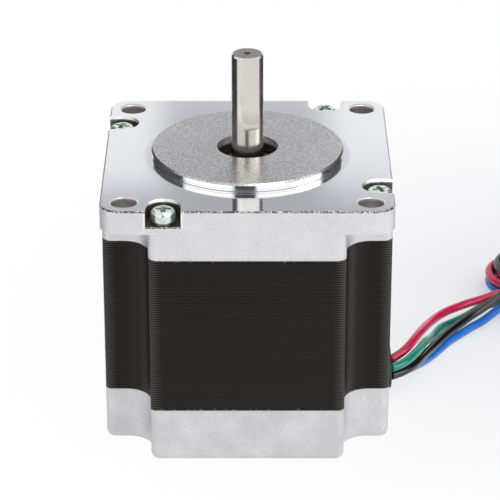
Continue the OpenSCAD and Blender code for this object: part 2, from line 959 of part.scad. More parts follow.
// The chamfered last layer of a stadium-shaped plate
module chamfered_stadium(w, h, chamfer) {
    rotate([90, 0, 90])
        linear_extrude(w - h, center = true)
            chamfer_profile(h, chamfer);
    for (x = [(h - w) / 2, (w - h) / 2])
        translate([x, 0, 0])
            cylinder(h = chamfer, r1 = h / 2, r2 = h / 2 - chamfer);
}

function unit(v) = v / norm(v);

// The corners of one ring of a tube, square to its direction
function tube_ring(p, along, r, sides) =
    let (side = unit(cross(along, [0, 0, 1])), up = cross(side, along))
    [for (k = [0:sides - 1]) p + r * (cos(360 / sides * k) * side + sin(360 / sides * k) * up)];

// Both ends of a tube point along X, and between them it follows its neighbours
function along_at(path, i) =
    i == 0 || i == len(path) - 1 ? [1, 0, 0] : unit(path[i + 1] - path[i - 1]);

function tube_corners(path, r, sides) =
    [for (i = [0:len(path) - 1]) each tube_ring(path[i], along_at(path, i), r, sides)];

// Triangles between one ring and the next
function band_faces(from, to, sides) = [
    for (k = [0:sides - 1])
        let (a = from + k, b = from + (k + 1) % sides, c = to + (k + 1) % sides, d = to + k)
        each [[a, d, c], [a, c, b]]];

function open_sweep_faces(rings, sides) = concat(
    [for (i = [0:rings - 2]) each band_faces(i * sides, (i + 1) * sides, sides)],
    [[for (k = [0:sides - 1]) k]],
    [[for (k = [sides - 1:-1:0]) (rings - 1) * sides + k]]);

function closed_sweep_faces(rings, sides) =
    [for (i = [0:rings - 1]) each band_faces(i * sides, (i + 1) % rings * sides, sides)];

module tube(path, r, sides) {
    polyhedron(tube_corners(path, r, sides), open_sweep_faces(len(path), sides));
}

function from_face(route) = [for (p = route) p + [lead_face_x, 0, foot_z]];

function path_length(path, i = 0) =
    i >= len(path) - 1 ? 0 : norm(path[i + 1] - path[i]) + path_length(path, i + 1);

// A flat spiral with two straight runs, which starts along X at the origin. Half turn
// number half runs towards the right when it is even and towards the left when odd.
function bend_radius(half, a) = coil_bend_r - coil_step / 2 * (half + a / 180);

function half_turn(half, run) =
    let (right = half % 2 == 0, sign = right ? 1 : -1, end_x = right ? run : 0)
    concat(
        [for (k = [run_rings:-1:1])
            [end_x - sign * run * k / (run_rings + 1), coil_bend_r - sign * bend_radius(half, 0), 0]],
        [for (k = [0:bend_rings])
            let (a = 180 / bend_rings * k, r = bend_radius(half, a))
            [end_x + sign * r * sin(a), coil_bend_r - sign * r * cos(a), 0]]);

function spiral_path(run) =
    concat([[0, 0, 0]], [for (half = [0:2 * coil_turns - 1]) each half_turn(half, run)]);

// Length of a lead past the grommet that its route and the coil's bends leave over
function rest_length(route) =
    lead_l - tip_l - path_length(route) - path_length(spiral_path(0));

// The straight runs take what the longest route leaves over, but for its tail
coil_run = (min([for (route = [red_route, green_route, blue_route, black_route])
    rest_length(route)]) - tail_l) / (2 * coil_turns);

// The inner end runs straight on until the lead has its full length
function coil_path(route) =
    let (wound = spiral_path(coil_run), last = wound[len(wound) - 1], tail = tail_length(route))
    concat(wound, [last + [tail / 2, 0, 0], last + [tail, 0, 0]]);

function tail_length(route) = rest_length(route) - 2 * coil_turns * coil_run;

// Where a route ends and its coil begins
function coil_start(route) = from_face(route)[len(route) - 1];

// Distance from a point to the straight line between two others
function point_gap(p, a, b) =
    let (t = max(0, min(1, (p - a) * (b - a) / ((b - a) * (b - a)))))
    norm(p - a - t * (b - a));

// Least distance between two stretches of the coil that aren't next to each other
function self_gap(path, apart) = min([
    for (i = [0:len(path) - 1], k = [0:len(path) - 2])
        if (abs(k - i) > apart && abs(k + 1 - i) > apart)
            point_gap(path[i], path[k], path[k + 1])]) - lead_d;

module free_lead(route) {
    tube(from_face(route), lead_d / 2, route_sides);
}

module lead_coil(route) {
    path = coil_path(route);
    echo(coil_self_gap = self_gap(path, run_rings + bend_rings), tail = tail_length(route), run = coil_run);
    translate(coil_start(route))
        tube(path, lead_d / 2, coil_sides);
}

module lead_tip(route) {
    path = coil_path(route);
    translate(coil_start(route) + path[len(path) - 1])
        rotate([0, 90, 0])
            cylinder(h = tip_l, d = tip_d);
}

red = [0.75, 0.10, 0.13];
green = [0.05, 0.48, 0.37];
blue = [0.10, 0.25, 0.75];
black = [0.08, 0.08, 0.09];

module lead_red() {
    color(red) free_lead(red_route);
}

module lead_green() {
    color(green) free_lead(green_route);
}

module lead_blue() {
    color(blue) free_lead(blue_route);
}

module lead_black() {
    color(black) free_lead(black_route);
}

module lead_red_coil() {
    color(red) lead_coil(red_route);
}

module lead_green_coil() {
    color(green) lead_coil(green_route);
}

module lead_blue_coil() {
    color(blue) lead_coil(blue_route);
}

module lead_black_coil() {
    color(black) lead_coil(black_route);
}

module lead_red_tip() {
    color("silver") lead_tip(red_route);
}

module lead_green_tip() {
    color("silver") lead_tip(green_route);
}

module lead_blue_tip() {
    color("silver") lead_tip(blue_route);
}

module lead_black_tip() {
    color("silver") lead_tip(black_route);
}

front_cap();
stator_stack();
rear_cap();
case_screws();
shaft();
rotor_cup_front();
rotor_cup_rear();
rotor_magnet();
front_bobbin();
rear_bobbin();
coils_phase_a();
coils_phase_b();
front_outer_race();
front_inner_race();
front_balls();
front_cage();
front_shields();
rear_outer_race();
rear_inner_race();
rear_balls();
rear_cage();
rear_shields();
wave_washer();
lead_grommet();
lead_red();
lead_green();
lead_blue();
lead_black();
lead_red_coil();
lead_green_coil();
lead_blue_coil();
lead_black_coil();
lead_red_tip();
lead_green_tip();
lead_blue_tip();
lead_black_tip();
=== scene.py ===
import math
import random

import bmesh
import bpy
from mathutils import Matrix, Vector


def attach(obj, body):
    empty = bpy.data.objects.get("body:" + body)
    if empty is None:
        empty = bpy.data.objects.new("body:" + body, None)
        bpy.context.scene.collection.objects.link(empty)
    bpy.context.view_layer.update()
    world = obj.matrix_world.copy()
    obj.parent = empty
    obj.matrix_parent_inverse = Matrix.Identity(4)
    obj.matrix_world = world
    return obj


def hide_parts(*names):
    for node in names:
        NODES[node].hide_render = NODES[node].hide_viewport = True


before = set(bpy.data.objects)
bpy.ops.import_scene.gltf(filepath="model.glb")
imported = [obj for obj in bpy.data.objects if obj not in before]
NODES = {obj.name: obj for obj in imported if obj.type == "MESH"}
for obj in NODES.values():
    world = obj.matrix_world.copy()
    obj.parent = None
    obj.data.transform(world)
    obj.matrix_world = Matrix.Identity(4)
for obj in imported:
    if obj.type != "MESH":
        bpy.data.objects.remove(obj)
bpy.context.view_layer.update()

MM = 0.001  # in metres


def reach(node, axis, pick=max):
    """How far a CAD node reaches along an axis (0, 1 or 2 for x, y or z), in mm."""
    return round(pick(v.co[axis] for v in NODES[node].data.vertices) / MM, 3)


# Sizes in mm, read from the solids
HALF_W = reach("stator_stack", 0)
STACK_TOP_Z = reach("stator_stack", 2)
STACK_END_Z = reach("stator_stack", 2, min)
FOOT_Z = reach("rear_cap", 2, min)
PILOT_H = reach("front_cap", 2)
SHAFT_TOP = reach("shaft", 2)
SCREW_END_Z = reach("case_screws", 2, min)
LEAD_FACE_X = reach("lead_grommet", 0)

# Sizes in mm, as in the CAD source
NOTCH_W = 9.2
NOTCH_R = 5.0
LAM_EDGE_R = 1.3
FLANGE_T = 4.8
PILOT_R = 19.05
HOLE_AT = 23.57
HOLE_R = 2.55
SCREW_ALONG = 16.0
SCREW_OUT = 25.5
SCREW_R = 1.25
POCKET_DEPTH = 3.2
POCKET_W = 6.8
SLOT_R = 25.0
SHAFT_R = 3.175
FLAT_L = 15.0
LEAD_D = 1.8
LEAD_L = 300.0
TIP_L = 8.0
TIP_D = 0.9
TAIL_L = 6.0
COIL_BEND_R = 10.0
COIL_STEP = 2.3
COIL_TURNS = 2

SCREWS = [(-SCREW_ALONG, -SCREW_OUT), (SCREW_OUT, -SCREW_ALONG),
          (SCREW_ALONG, SCREW_OUT), (-SCREW_OUT, SCREW_ALONG)]
HOLES = [(x, y) for x in (-HOLE_AT, HOLE_AT) for y in (-HOLE_AT, HOLE_AT)]
# Cosine and sine of each quarter turn
QUARTERS = ((1, 0), (0, 1), (-1, 0), (0, -1))

# Free stretches of the leads, as in the CAD source: out from the grommet's face, back from the
# shaft axis, up from the floor
ROUTES = {
    "red": [(0, 0.6, 7.6), (1.5, 1.7, 7.9), (3, 3.3, 8.2), (4.5, 5.8, 8.6), (6, 9.6, 8.6),
            (8, 16.4, 7.1), (10, 22.5, 5.6), (12, 26.3, 5.1), (14, 28.9, 4.9), (16.5, 31.1, 4.7),
            (19, 33, 4.8), (22.1, 34.7, 4.7), (25.3, 36.4, 5.4), (29, 37.1, 5.4), (32.6, 37, 4.9)],
    "green": [(0, -3.4, 7.8), (1.5, -2.5, 7.7), (3, -0.9, 7.7), (4.5, 1.6, 7.8), (6, 5.4, 7.2),
              (8, 14.6, 4.6), (10, 20.6, 2.4), (12, 26.1, 2), (14, 29.1, 1.4), (16.5, 31.6, 1.2),
              (19, 33.8, 1.4), (22.8, 37, 2.3), (26.5, 38.5, 1.8), (30.9, 37.9, 1), (35, 37, 0.9)],
    "blue": [(0, -0.3, 5), (1.5, 0.7, 4.7), (3, 2.3, 4.2), (4.5, 4.8, 3.4), (6, 8.1, 2.4),
             (8, 12, 1.4), (10, 15.5, 1), (12, 18.9, 1), (14, 22, 1.2), (16.5, 24.8, 1.2),
             (19, 27.5, 1.6), (22.1, 30.4, 1.7), (25.3, 34, 2.7), (29, 36.4, 2.9), (32.6, 37, 2.9)],
    "black": [(0, -2.9, 5.7), (1.5, -2, 5.6), (3, -0.7, 5.6), (4.5, 1.4, 5.5), (6, 4.4, 5.2),
              (8, 10.2, 4), (10, 14.9, 3.4), (12, 18.8, 3.3), (14, 22.3, 3.3), (16.5, 25.9, 3.2),
              (19, 28.9, 3.7), (22.6, 31.7, 4.6), (26.2, 34.3, 6.3), (30.4, 36.2, 7.1),
              (34.4, 37, 6.9)],
}


def add_object(name, data):
    obj = bpy.data.objects.new(name, data)
    bpy.context.scene.collection.objects.link(obj)
    return obj


# Camera, as fitted to the photo
FOCAL_PX = 2643
PICTURE_PX = 500
SENSOR_MM = 36
CAMERA_AT = (0.0005, -0.483, 0.2055)  # metres
CAMERA_DOWN = 25.17  # degrees below the horizon
CAMERA_SHIFT = 0.0026


def make_camera():
    data = bpy.data.cameras.new("camera")
    data.sensor_width = SENSOR_MM
    data.lens = FOCAL_PX * SENSOR_MM / PICTURE_PX
    data.clip_start = 0.01
    data.clip_end = 20
    data.shift_y = CAMERA_SHIFT
    cam = add_object("camera", data)
    cam.location = CAMERA_AT
    cam.rotation_euler = (math.radians(90 - CAMERA_DOWN), 0, 0)
    bpy.context.scene.camera = cam


make_camera()


# Materials
class Nodes:
    """Adds nodes to one shader tree. A value is a number, a colour, a vector or a node's output.

    place is where a point lies in the shared frame, in metres.
    """

    def __init__(self, tree):
        self.tree = tree
        self.place = self.node("ShaderNodeTexCoord", "Object")

    def put(self, socket, value):
        if isinstance(value, bpy.types.NodeSocket):
            self.tree.links.new(value, socket)
        elif isinstance(value, tuple) and len(value) == 3 and socket.type == "RGBA":
            socket.default_value = (*value, 1)
        else:
            socket.default_value = value

    def node(self, kind, out=0, props=(), **inputs):
        """One output of a new node. Inputs go by name, or by number as i0, i1 and so on."""
        n = self.tree.nodes.new(kind)
        for key, value in dict(props).items():
            setattr(n, key, value)
        for key, value in inputs.items():
            at = int(key[1:]) if key[0] == "i" and key[1:].isdigit() else key.replace("_", " ")
            self.put(n.inputs[at], value)
        return n.outputs[out]

    def end(self, kind, surface):
        """Adds the tree's output node, fed with a surface."""
        self.put(self.tree.nodes.new(kind).inputs["Surface"], surface)

    def math(self, op, a, b=0.0, clamp=False):
        props = {"operation": op, "use_clamp": clamp}
        return self.node("ShaderNodeMath", props=props, i0=a, i1=b)

    def add(self, a, b):
        return self.math("ADD", a, b)

    def sub(self, a, b):
        return self.math("SUBTRACT", a, b)

    def mul(self, a, b):
        return self.math("MULTIPLY", a, b)

    def larger(self, a, b):
        return self.math("MAXIMUM", a, b)

    def absolute(self, a):
        return self.math("ABSOLUTE", a)

    def range(self, value, lo, hi, to_lo=0.0, to_hi=1.0):
        """Turns lo to hi into to_lo to to_hi, smoothly, and holds the ends outside."""
        return self.node("ShaderNodeMapRange", props={"interpolation_type": "SMOOTHSTEP"},
                         Value=value, From_Min=lo, From_Max=hi, To_Min=to_lo, To_Max=to_hi)

    def axes(self):
        n = self.tree.nodes.new("ShaderNodeSeparateXYZ")
        self.put(n.inputs[0], self.place)
        return n.outputs

    def mix(self, fac, a, b):
        """Two colours mixed: a at 0 and b at 1. The node's own colour sockets are 6, 7 and 2."""
        n = self.tree.nodes.new("ShaderNodeMix")
        n.data_type = "RGBA"
        for at, value in ((0, fac), (6, a), (7, b)):
            self.put(n.inputs[at], value)
        return n.outputs[2]

    def ramp(self, fac, *stops):
        """A colour ramp through stops of a position and a grey or a colour."""
        n = self.tree.nodes.new("ShaderNodeValToRGB")
        self.put(n.inputs[0], fac)
        elements = n.color_ramp.elements
        while len(elements) < len(stops):
            elements.new(0.5)
        for element, (at, colour) in zip(elements, stops):
            element.position = at
            grey = isinstance(colour, (int, float))
            element.color = (colour, colour, colour, 1) if grey else (*colour, 1)
        return n.outputs[0]

    def noise(self, scale, detail=2, rough=0.5, stretch=None, place=None):
        """Noise with about scale grains to the metre, times stretch along each axis."""
        at = place or self.place
        if stretch:
            at = self.node("ShaderNodeMapping", Vector=at, Scale=stretch)
        return self.node("ShaderNodeTexNoise", Vector=at, Scale=scale, Detail=detail,
                         Roughness=rough)

    def bump(self, height, distance, strength=1.0, normal=None):
        inputs = {"Height": height, "Distance": distance, "Strength": strength}
        if normal is not None:
            inputs["Normal"] = normal
        return self.node("ShaderNodeBump", **inputs)


class Mat(Nodes):
    """A Principled material, whose sockets are set by name."""

    def __init__(self, name, **sockets):
        self.mat = bpy.data.materials.new(name)
        self.mat.use_nodes = True
        super().__init__(self.mat.node_tree)
        self.bsdf = self.tree.nodes["Principled BSDF"]
        self.set(**sockets)

    def set(self, **sockets):
        for key, value in sockets.items():
            self.put(self.bsdf.inputs[key.replace("_", " ")], value)


def darker(tone, share):
    return tuple(c * share for c in tone)


def specks(m, scale, size, share):
    """Sparse round specks: 1 inside one, 0 outside. share is the part of the cells with one."""
    cell = m.tree.nodes.new("ShaderNodeTexVoronoi")
    m.put(cell.inputs["Vector"], m.place)
    m.put(cell.inputs["Scale"], scale)
    inside = m.math("LESS_THAN", cell.outputs["Distance"], size)
    one = m.node("ShaderNodeSeparateColor", Color=cell.outputs["Color"])
    return m.mul(inside, m.math("LESS_THAN", one, share))


def around_axis(m):
    """The place in polar form: radius, angle and height. A radian counts as 0.2 mm."""
    x, y, z = m.axes()
    radius = m.math("SQRT", m.add(m.mul(x, x), m.mul(y, y)))
    angle = m.mul(m.math("ARCTAN2", y, x), 0.2 * MM)
    return m.node("ShaderNodeCombineXYZ", X=radius, Y=angle, Z=z)


def from_axis(m):
    """The distance from the shaft axis, in metres."""
    return m.node("ShaderNodeSeparateXYZ", Vector=around_axis(m))


SILL_DROP = 0.17  # how far the broken edge's line runs below the pocket's floor
JAMB_OFF = 0.17  # how far the painted highlight lines run beside the pocket's walls


def edge_wear_and_highlights(m, colour, c, s):
    """The broken edge round one open screw pocket: a rough line below, and painted highlights
    beside it, white lines where the edge would catch the light.

    c and s are the cosine and sine of the pocket's turn from the front side.
    """
    x, y, z = m.axes()
    along = m.add(m.mul(x, c), m.mul(y, s))
    out = m.sub(m.mul(x, s), m.mul(y, c))
    outside = m.math("GREATER_THAN", out, (HALF_W - 0.05) * MM)
    off = m.absolute(m.add(along, SCREW_ALONG * MM))
    half = POCKET_W / 2
    wobble = m.mul(m.sub(m.noise(2200, 2, 0.6), 0.5), 0.3 * MM)

    def line(away, half_width):
        return m.range(away, half_width * MM, (half_width + 0.1) * MM, 1.0, 0.0)

    below = m.absolute(m.add(m.add(z, (POCKET_DEPTH + SILL_DROP) * MM), wobble))
    sill = m.mul(line(below, 0.12), m.math("LESS_THAN", off, (half + 0.3) * MM))
    speckle = m.ramp(m.noise(2600, 3, 0.75), (0.46, (0.10, 0.095, 0.09)),
                     (0.56, (0.50, 0.49, 0.48)), (0.66, (0.95, 0.95, 0.95)))
    colour = m.mix(m.mul(sill, outside), colour, speckle)
    beside = m.absolute(m.sub(m.add(off, wobble), (half + JAMB_OFF) * MM))
    # painted highlight: white lines beside the pocket's walls, where the broken edge would catch
    # the light
    jamb_highlight = m.mul(line(beside, 0.1), m.math("GREATER_THAN", z, -(POCKET_DEPTH + 0.3) * MM))
    return m.mix(m.mul(jamb_highlight, outside), colour, (1.0, 1.0, 1.0))


def cast_metal(name, tone, rough, mottle, wear_and_highlights=False):
    """Bare die-cast aluminium: a sandy skin with soft mottling and a few tiny pits."""
    m = Mat(name, Metallic=0.72)
    sand = m.noise(4600, 3, 0.6)
    clouds = m.noise(190, 4, 0.6)
    pits = specks(m, 900, 0.13, 0.03)
    colour = m.mix(m.ramp(clouds, (0.35, 0.0), (0.68, 1.0)), darker(tone, 1 - mottle), tone)
    colour = m.mix(m.mul(m.ramp(sand, (0.36, 1.0), (0.5, 0.0)), 0.30), colour, (0.36, 0.36, 0.37))
    colour = m.mix(m.mul(pits, 0.5), colour, (0.25, 0.25, 0.26))
    # round each pocket: a rough broken edge, with painted highlights beside it
    for c, s in QUARTERS if wear_and_highlights else ():
        colour = edge_wear_and_highlights(m, colour, c, s)
    m.set(Base_Color=colour, Roughness=m.range(clouds, 0.3, 0.7, rough - 0.04, rough + 0.05))
    grain = m.bump(sand, 0.06 * MM, 0.55)
    m.set(Normal=m.bump(m.noise(900, 3, 0.6), 0.12 * MM, 0.35, grain))
    return m.mat


def cut_wall(name, dark, light, line_z, rough, ragged, bevel_z=None, metal=0.8):
    """A wall below a machined face, with painted light: a painted highlight down to a ragged line,
    then painted shade.

    line_z is the line's height in mm. Above bevel_z the wall leans back, as a broken edge does.
    """
    m = Mat(name, Metallic=metal)
    sand = m.noise(2600, 4, 0.65)
    clouds = m.noise(700, 3, 0.6)
    z = m.axes()[2]
    height = m.add(z, m.mul(m.sub(clouds, 0.5), 2 * ragged * MM))
    # painted light by height: lighter above the ragged line, darker below it as shade in the hollow
    lit_share = m.range(height, (line_z - 0.25) * MM, (line_z + 0.25) * MM)
    lower_shaded = m.mix(sand, darker(dark, 0.6), dark)
    upper_lit = m.mix(sand, darker(light, 0.85), light)
    m.set(Base_Color=m.mix(lit_share, lower_shaded, upper_lit))
    m.set(Roughness=m.range(sand, 0.3, 0.7, rough, rough + 0.12))
    normal = m.bump(sand, 0.06 * MM, 0.5, m.bump(clouds, 0.12 * MM, 0.4))
    if bevel_z is not None:
        lean = m.mul(m.larger(m.sub(z, bevel_z * MM), 0.0), -1.0)
        normal = m.bump(lean, 1.0, 1.0, normal)
    m.set(Normal=normal)
    return m.mat


BOSS_LINES = ((0.03, 0.03), (0.45, 0.035))  # height and half width of each dark line: painted shade in the corner at the boss's foot and in a turned groove that is not modelled


def boss_side():
    """The boss's turned wall: bright, with darker, rougher lines painted as the shade in its foot's
    corner and in a groove.
    """
    m = Mat("boss_side", Metallic=1.0)
    z = m.axes()[2]
    rings = m.noise(9000, stretch=(0.03, 0.03, 1))
    lines = []
    for at, half in BOSS_LINES:
        off = m.absolute(m.sub(z, at * MM))
        lines.append(m.range(off, half * 0.6 * MM, half * 1.6 * MM, 1.0, 0.0))
    line = m.larger(*lines)
    colour = m.mix(rings, (0.86, 0.86, 0.88), (0.95, 0.95, 0.97))
    # the lines are painted shade: darker colour and a rougher finish
    m.set(Base_Color=m.mix(line, colour, (0.50, 0.50, 0.52)))
    m.set(Roughness=m.range(line, 0.0, 1.0, 0.09, 0.4))
    m.set(Normal=m.bump(rings, 0.004 * MM, 0.3))
    return m.mat


def blasted_metal():
    """The boss's top: a fine even grain, with a faint drift in tone."""
    m = Mat("boss_top", Metallic=0.92)
    grain = m.noise(2950, 2, 0.7)
    clouds = m.noise(90, 3, 0.5)
    fac = m.mix(0.1, m.ramp(grain, (0.36, 0.0), (0.64, 1.0)), clouds)
    m.set(Base_Color=m.mix(fac, (0.36, 0.355, 0.36), (0.74, 0.735, 0.74)))
    m.set(Roughness=m.range(clouds, 0.3, 0.7, 0.24, 0.28), Normal=m.bump(grain, 0.012 * MM, 0.4))
    return m.mat


def polished_face():
    """The flange's ground face: almost a mirror, with faint haze and hairline marks."""
    m = Mat("flange_face", Metallic=0.95)
    haze = m.noise(55, 3, 0.55)
    lines = m.noise(1800, 2, 0.6, (1, 0.06, 1))
    colour = m.mix(haze, (0.785, 0.80, 0.84), (0.825, 0.84, 0.88))
    colour = m.mix(m.mul(specks(m, 700, 0.12, 0.03), 0.35), colour, (0.45, 0.45, 0.47))
    # the ring that was turned with the boss is duller
    ring = m.range(from_axis(m), (PILOT_R + 0.5) * MM, (PILOT_R + 2.8) * MM, 0.17, 0.0)
    m.set(Base_Color=colour, Roughness=m.larger(ring, m.range(haze, 0.3, 0.7, 0.07, 0.10)))
    waves = m.bump(m.noise(260, 2, 0.5), 0.008 * MM, 0.2)
    m.set(Normal=m.bump(lines, 0.005 * MM, 0.2, waves))
    return m.mat


def edge_metal():
    """The flange's broken upper edge: bright metal between rough dark casting specks."""
    m = Mat("flange_edge", Metallic=0.9, Roughness=0.3)
    rough = m.noise(2600, 4, 0.75)
    m.set(Base_Color=m.ramp(rough, (0.48, (0.07, 0.07, 0.07)), (0.55, (0.50, 0.50, 0.51)),
                            (0.66, (0.92, 0.92, 0.93))))
    m.set(Normal=m.bump(rough, 0.2 * MM, 0.9))
    return m.mat


SHEETS = 65
# Places on one quarter of the outline with a painted sheen, lighter as if the black had worn thin,
# in mm, and how much
SHEEN_AND_WEAR_CORNERS = [((18.3, 27.5, 0), 0.75), ((27.5, 18.3, 0), 0.9), ((20.3, 21.2, 0), 0.7)]


def lamination_metal():
    """Blackened sheet edges: satin and streaky, with dust, a painted sheen on the corners shown as
    worn black, and light patches by the two ends.
    """
    m = Mat("lamination", Metallic=0.1)
    streaks = m.noise(260, 4, 0.6, (1, 1, 12))
    grain = m.noise(4200, 3, 0.6)
    sheets = m.noise(2006, 1, stretch=(0.02, 0.02, 1))
    colour = m.mix(m.mix(0.5, streaks, sheets), (0.0095, 0.0055, 0.0048), (0.0215, 0.0140, 0.0125))

    # painted sheen on the corners of the outline, shown as the black worn thin
    x, y, z = m.axes()
    corner = m.node("ShaderNodeCombineXYZ", X=m.absolute(x), Y=m.absolute(y))
    wear_and_highlights = 0.0
    for place, share in SHEEN_AND_WEAR_CORNERS:
        at = tuple(v * MM for v in place)
        away = m.node("ShaderNodeVectorMath", "Value", {"operation": "DISTANCE"}, i0=corner, i1=at)
        wear_and_highlights = m.larger(wear_and_highlights, m.range(away, 0.4 * MM, 2.0 * MM, share, 0.0))
    colour = m.mix(wear_and_highlights, colour, m.mix(grain, (0.050, 0.045, 0.042), (0.125, 0.113, 0.107)))

    # dark joints between the sheets
    pitch = (STACK_TOP_Z - STACK_END_Z) / SHEETS * MM
    within = m.math("FRACT", m.math("DIVIDE", m.sub(z, STACK_END_Z * MM), pitch))
    land = m.range(m.absolute(m.sub(within, 0.5)), 0.14, 0.34, 1.0, 0.0)
    colour = m.mix(land, (0.0015, 0.0012, 0.0012), colour)
    grey = m.mul(m.ramp(grain, (0.62, 0.0), (0.75, 1.0)), 0.35)
    colour = m.mix(grey, colour, (0.060, 0.048, 0.042))

    # light pinkish patches by the two ends
    middle = (STACK_TOP_Z + STACK_END_Z) / 2
    half = (STACK_TOP_Z - STACK_END_Z) / 2
    off = m.absolute(m.sub(z, middle * MM))
    rim = m.range(off, (half - 0.55) * MM, (half - 0.1) * MM)
    end_patches = m.mul(rim, m.ramp(m.noise(1500, 3, 0.7), (0.56, 0.0), (0.66, 1.0)))
    colour = m.mix(m.mul(end_patches, 0.55), colour, (0.40, 0.36, 0.33))

    dust = m.math("ADD", specks(m, 260, 0.024, 0.05), specks(m, 520, 0.04, 0.012), clamp=True)
    colour = m.mix(dust, colour, (0.62, 0.60, 0.58))
    m.set(Base_Color=colour, Specular_IOR_Level=0.24)
    m.set(Roughness=m.range(streaks, 0.3, 0.7, 0.34, 0.42), Normal=m.bump(grain, 0.03 * MM, 0.4))
    return m.mat


def zinc(name, dark, light):
    """Zinc plate with a greenish passivation, cloudy."""
    m = Mat(name, Metallic=0.8)
    clouds = m.noise(900, 3, 0.6)
    colour = m.mix(m.ramp(clouds, (0.3, 0.0), (0.7, 1.0)), dark, light)
    m.set(Base_Color=colour, Roughness=m.range(clouds, 0.3, 0.7, 0.17, 0.30))
    m.set(Normal=m.bump(m.noise(1500, 3, 0.6), 0.06 * MM, 0.5))
    return m.mat


def shaft_steel():
    """Ground steel: hairline rings along the journal, warm grey."""
    m = Mat("shaft_steel", Metallic=1.0)
    rings = m.noise(2600, 3, stretch=(1, 1, 5), place=around_axis(m))
    clouds = m.noise(160, 3, 0.6)
    m.set(Base_Color=m.mix(m.mix(0.35, clouds, rings), (0.66, 0.635, 0.60), (0.76, 0.735, 0.695)))
    m.set(Roughness=m.range(rings, 0.3, 0.7, 0.17, 0.23))
    m.set(Normal=m.bump(rings, 0.003 * MM, 0.3))
    return m.mat


def flat_steel():
    """The milled flat: lines across it, and a painted reflection along the curve where the cutter
    ran out: darker above the curve, with a painted highlight on it.
    """
    m = Mat("flat_steel", Metallic=1.0)
    lines = m.noise(2600, 3, 0.6, (0.08, 0.08, 1))
    colour = m.mix(lines, (0.64, 0.62, 0.585), (0.71, 0.69, 0.65))
    x, y, z = m.axes()
    side = m.sub(x, 1.2 * MM)
    curve = m.mul(m.mul(side, side), 170.0)
    above = m.sub(z, m.add(curve, (SHAFT_TOP - FLAT_L + 1.0) * MM))
    # painted reflection: darker just above the curve, fading upwards
    colour = m.mix(m.range(above, 0.0, 3.0 * MM, 0.6, 0.0), colour, (0.52, 0.50, 0.46))
    # painted highlight: a thin bright line on the curve
    colour = m.mix(m.range(above, -0.12 * MM, 0.04 * MM, 1.0, 0.0), colour, (0.68, 0.69, 0.62))
    m.set(Base_Color=colour)
    m.set(Roughness=m.range(lines, 0.3, 0.7, 0.26, 0.34))
    m.set(Normal=m.bump(lines, 0.0015 * MM, 0.4))
    return m.mat


def end_steel():
    """The shaft's faced end: mottled, with turning rings and a centre mark."""
    m = Mat("shaft_end", Metallic=1.0)
    radius = from_axis(m)
    rings = m.noise(7000, 3, place=around_axis(m))
    blots = m.noise(2100, 3, 0.6)
    mottle = m.mix(0.6, rings, m.ramp(blots, (0.35, 0.0), (0.65, 1.0)))
    colour = m.mix(mottle, (0.20, 0.185, 0.175), (0.40, 0.38, 0.365))
    # the mark is a bright point in a dark ring
    ring = m.range(radius, 0.38 * MM, 0.52 * MM, 1.0, 0.0)
    colour = m.mix(m.mul(ring, 0.8), colour, (0.07, 0.065, 0.06))
    point = m.range(radius, 0.16 * MM, 0.26 * MM, 1.0, 0.0)
    colour = m.mix(point, colour, (1.0, 0.99, 0.97))
    m.set(Base_Color=colour, Roughness=m.range(blots, 0.3, 0.7, 0.32, 0.45))
    m.set(Normal=m.bump(blots, 0.03 * MM, 0.5))
    return m.mat


def smooth_steel(name, tone, rough):
    """Polished or rolled metal, faintly clouded."""
    m = Mat(name, Metallic=1.0)
    clouds = m.noise(700, 3, 0.6)
    m.set(Base_Color=m.mix(clouds, darker(tone, 0.82), tone))
    m.set(Roughness=m.range(clouds, 0.3, 0.7, rough, rough + 0.1))
    m.set(Normal=m.bump(m.noise(3800, 2), 0.01 * MM, 0.4))
    return m.mat


def sheath(name, tone, light):
    """PVC insulation: glossy, with faint streaks and an almost even skin."""
    m = Mat(name, Specular_IOR_Level=0.75, IOR=1.5)
    streaks = m.noise(240, 2, 0.4)
    m.set(Base_Color=m.mix(m.ramp(streaks, (0.35, 0.0), (0.65, 1.0)), tone, light))
    m.set(Roughness=m.range(streaks, 0.3, 0.7, 0.20, 0.26))
    m.set(Normal=m.bump(m.noise(900, 2, 0.5), 0.002 * MM, 0.3))
    return m.mat


def moulded(name, dark, light, rough, metal=0.0):
    """A moulded or sintered skin with a fine grain."""
    m = Mat(name, Metallic=metal)
    clouds = m.noise(500, 4, 0.6)
    m.set(Base_Color=m.mix(clouds, dark, light))
    m.set(Roughness=m.range(clouds, 0.3, 0.7, rough, rough + 0.12))
    m.set(Normal=m.bump(m.noise(3000, 2), 0.02 * MM, 0.4))
    return m.mat


def windings():
    """Enamelled wire laid round the pole: fine parallel turns."""
    m = Mat("windings", Coat_Weight=0.6, Coat_Roughness=0.15, Metallic=0.6, Roughness=0.32)
    turns = m.node("ShaderNodeTexWave", "Fac", {"bands_direction": "DIAGONAL"}, Vector=m.place,
                   Scale=900.0, Distortion=0.6)
    m.set(Base_Color=m.mix(turns, (0.36, 0.11, 0.035), (0.72, 0.31, 0.12)))
    m.set(Normal=m.bump(turns, 0.1 * MM, 0.5))
    return m.mat


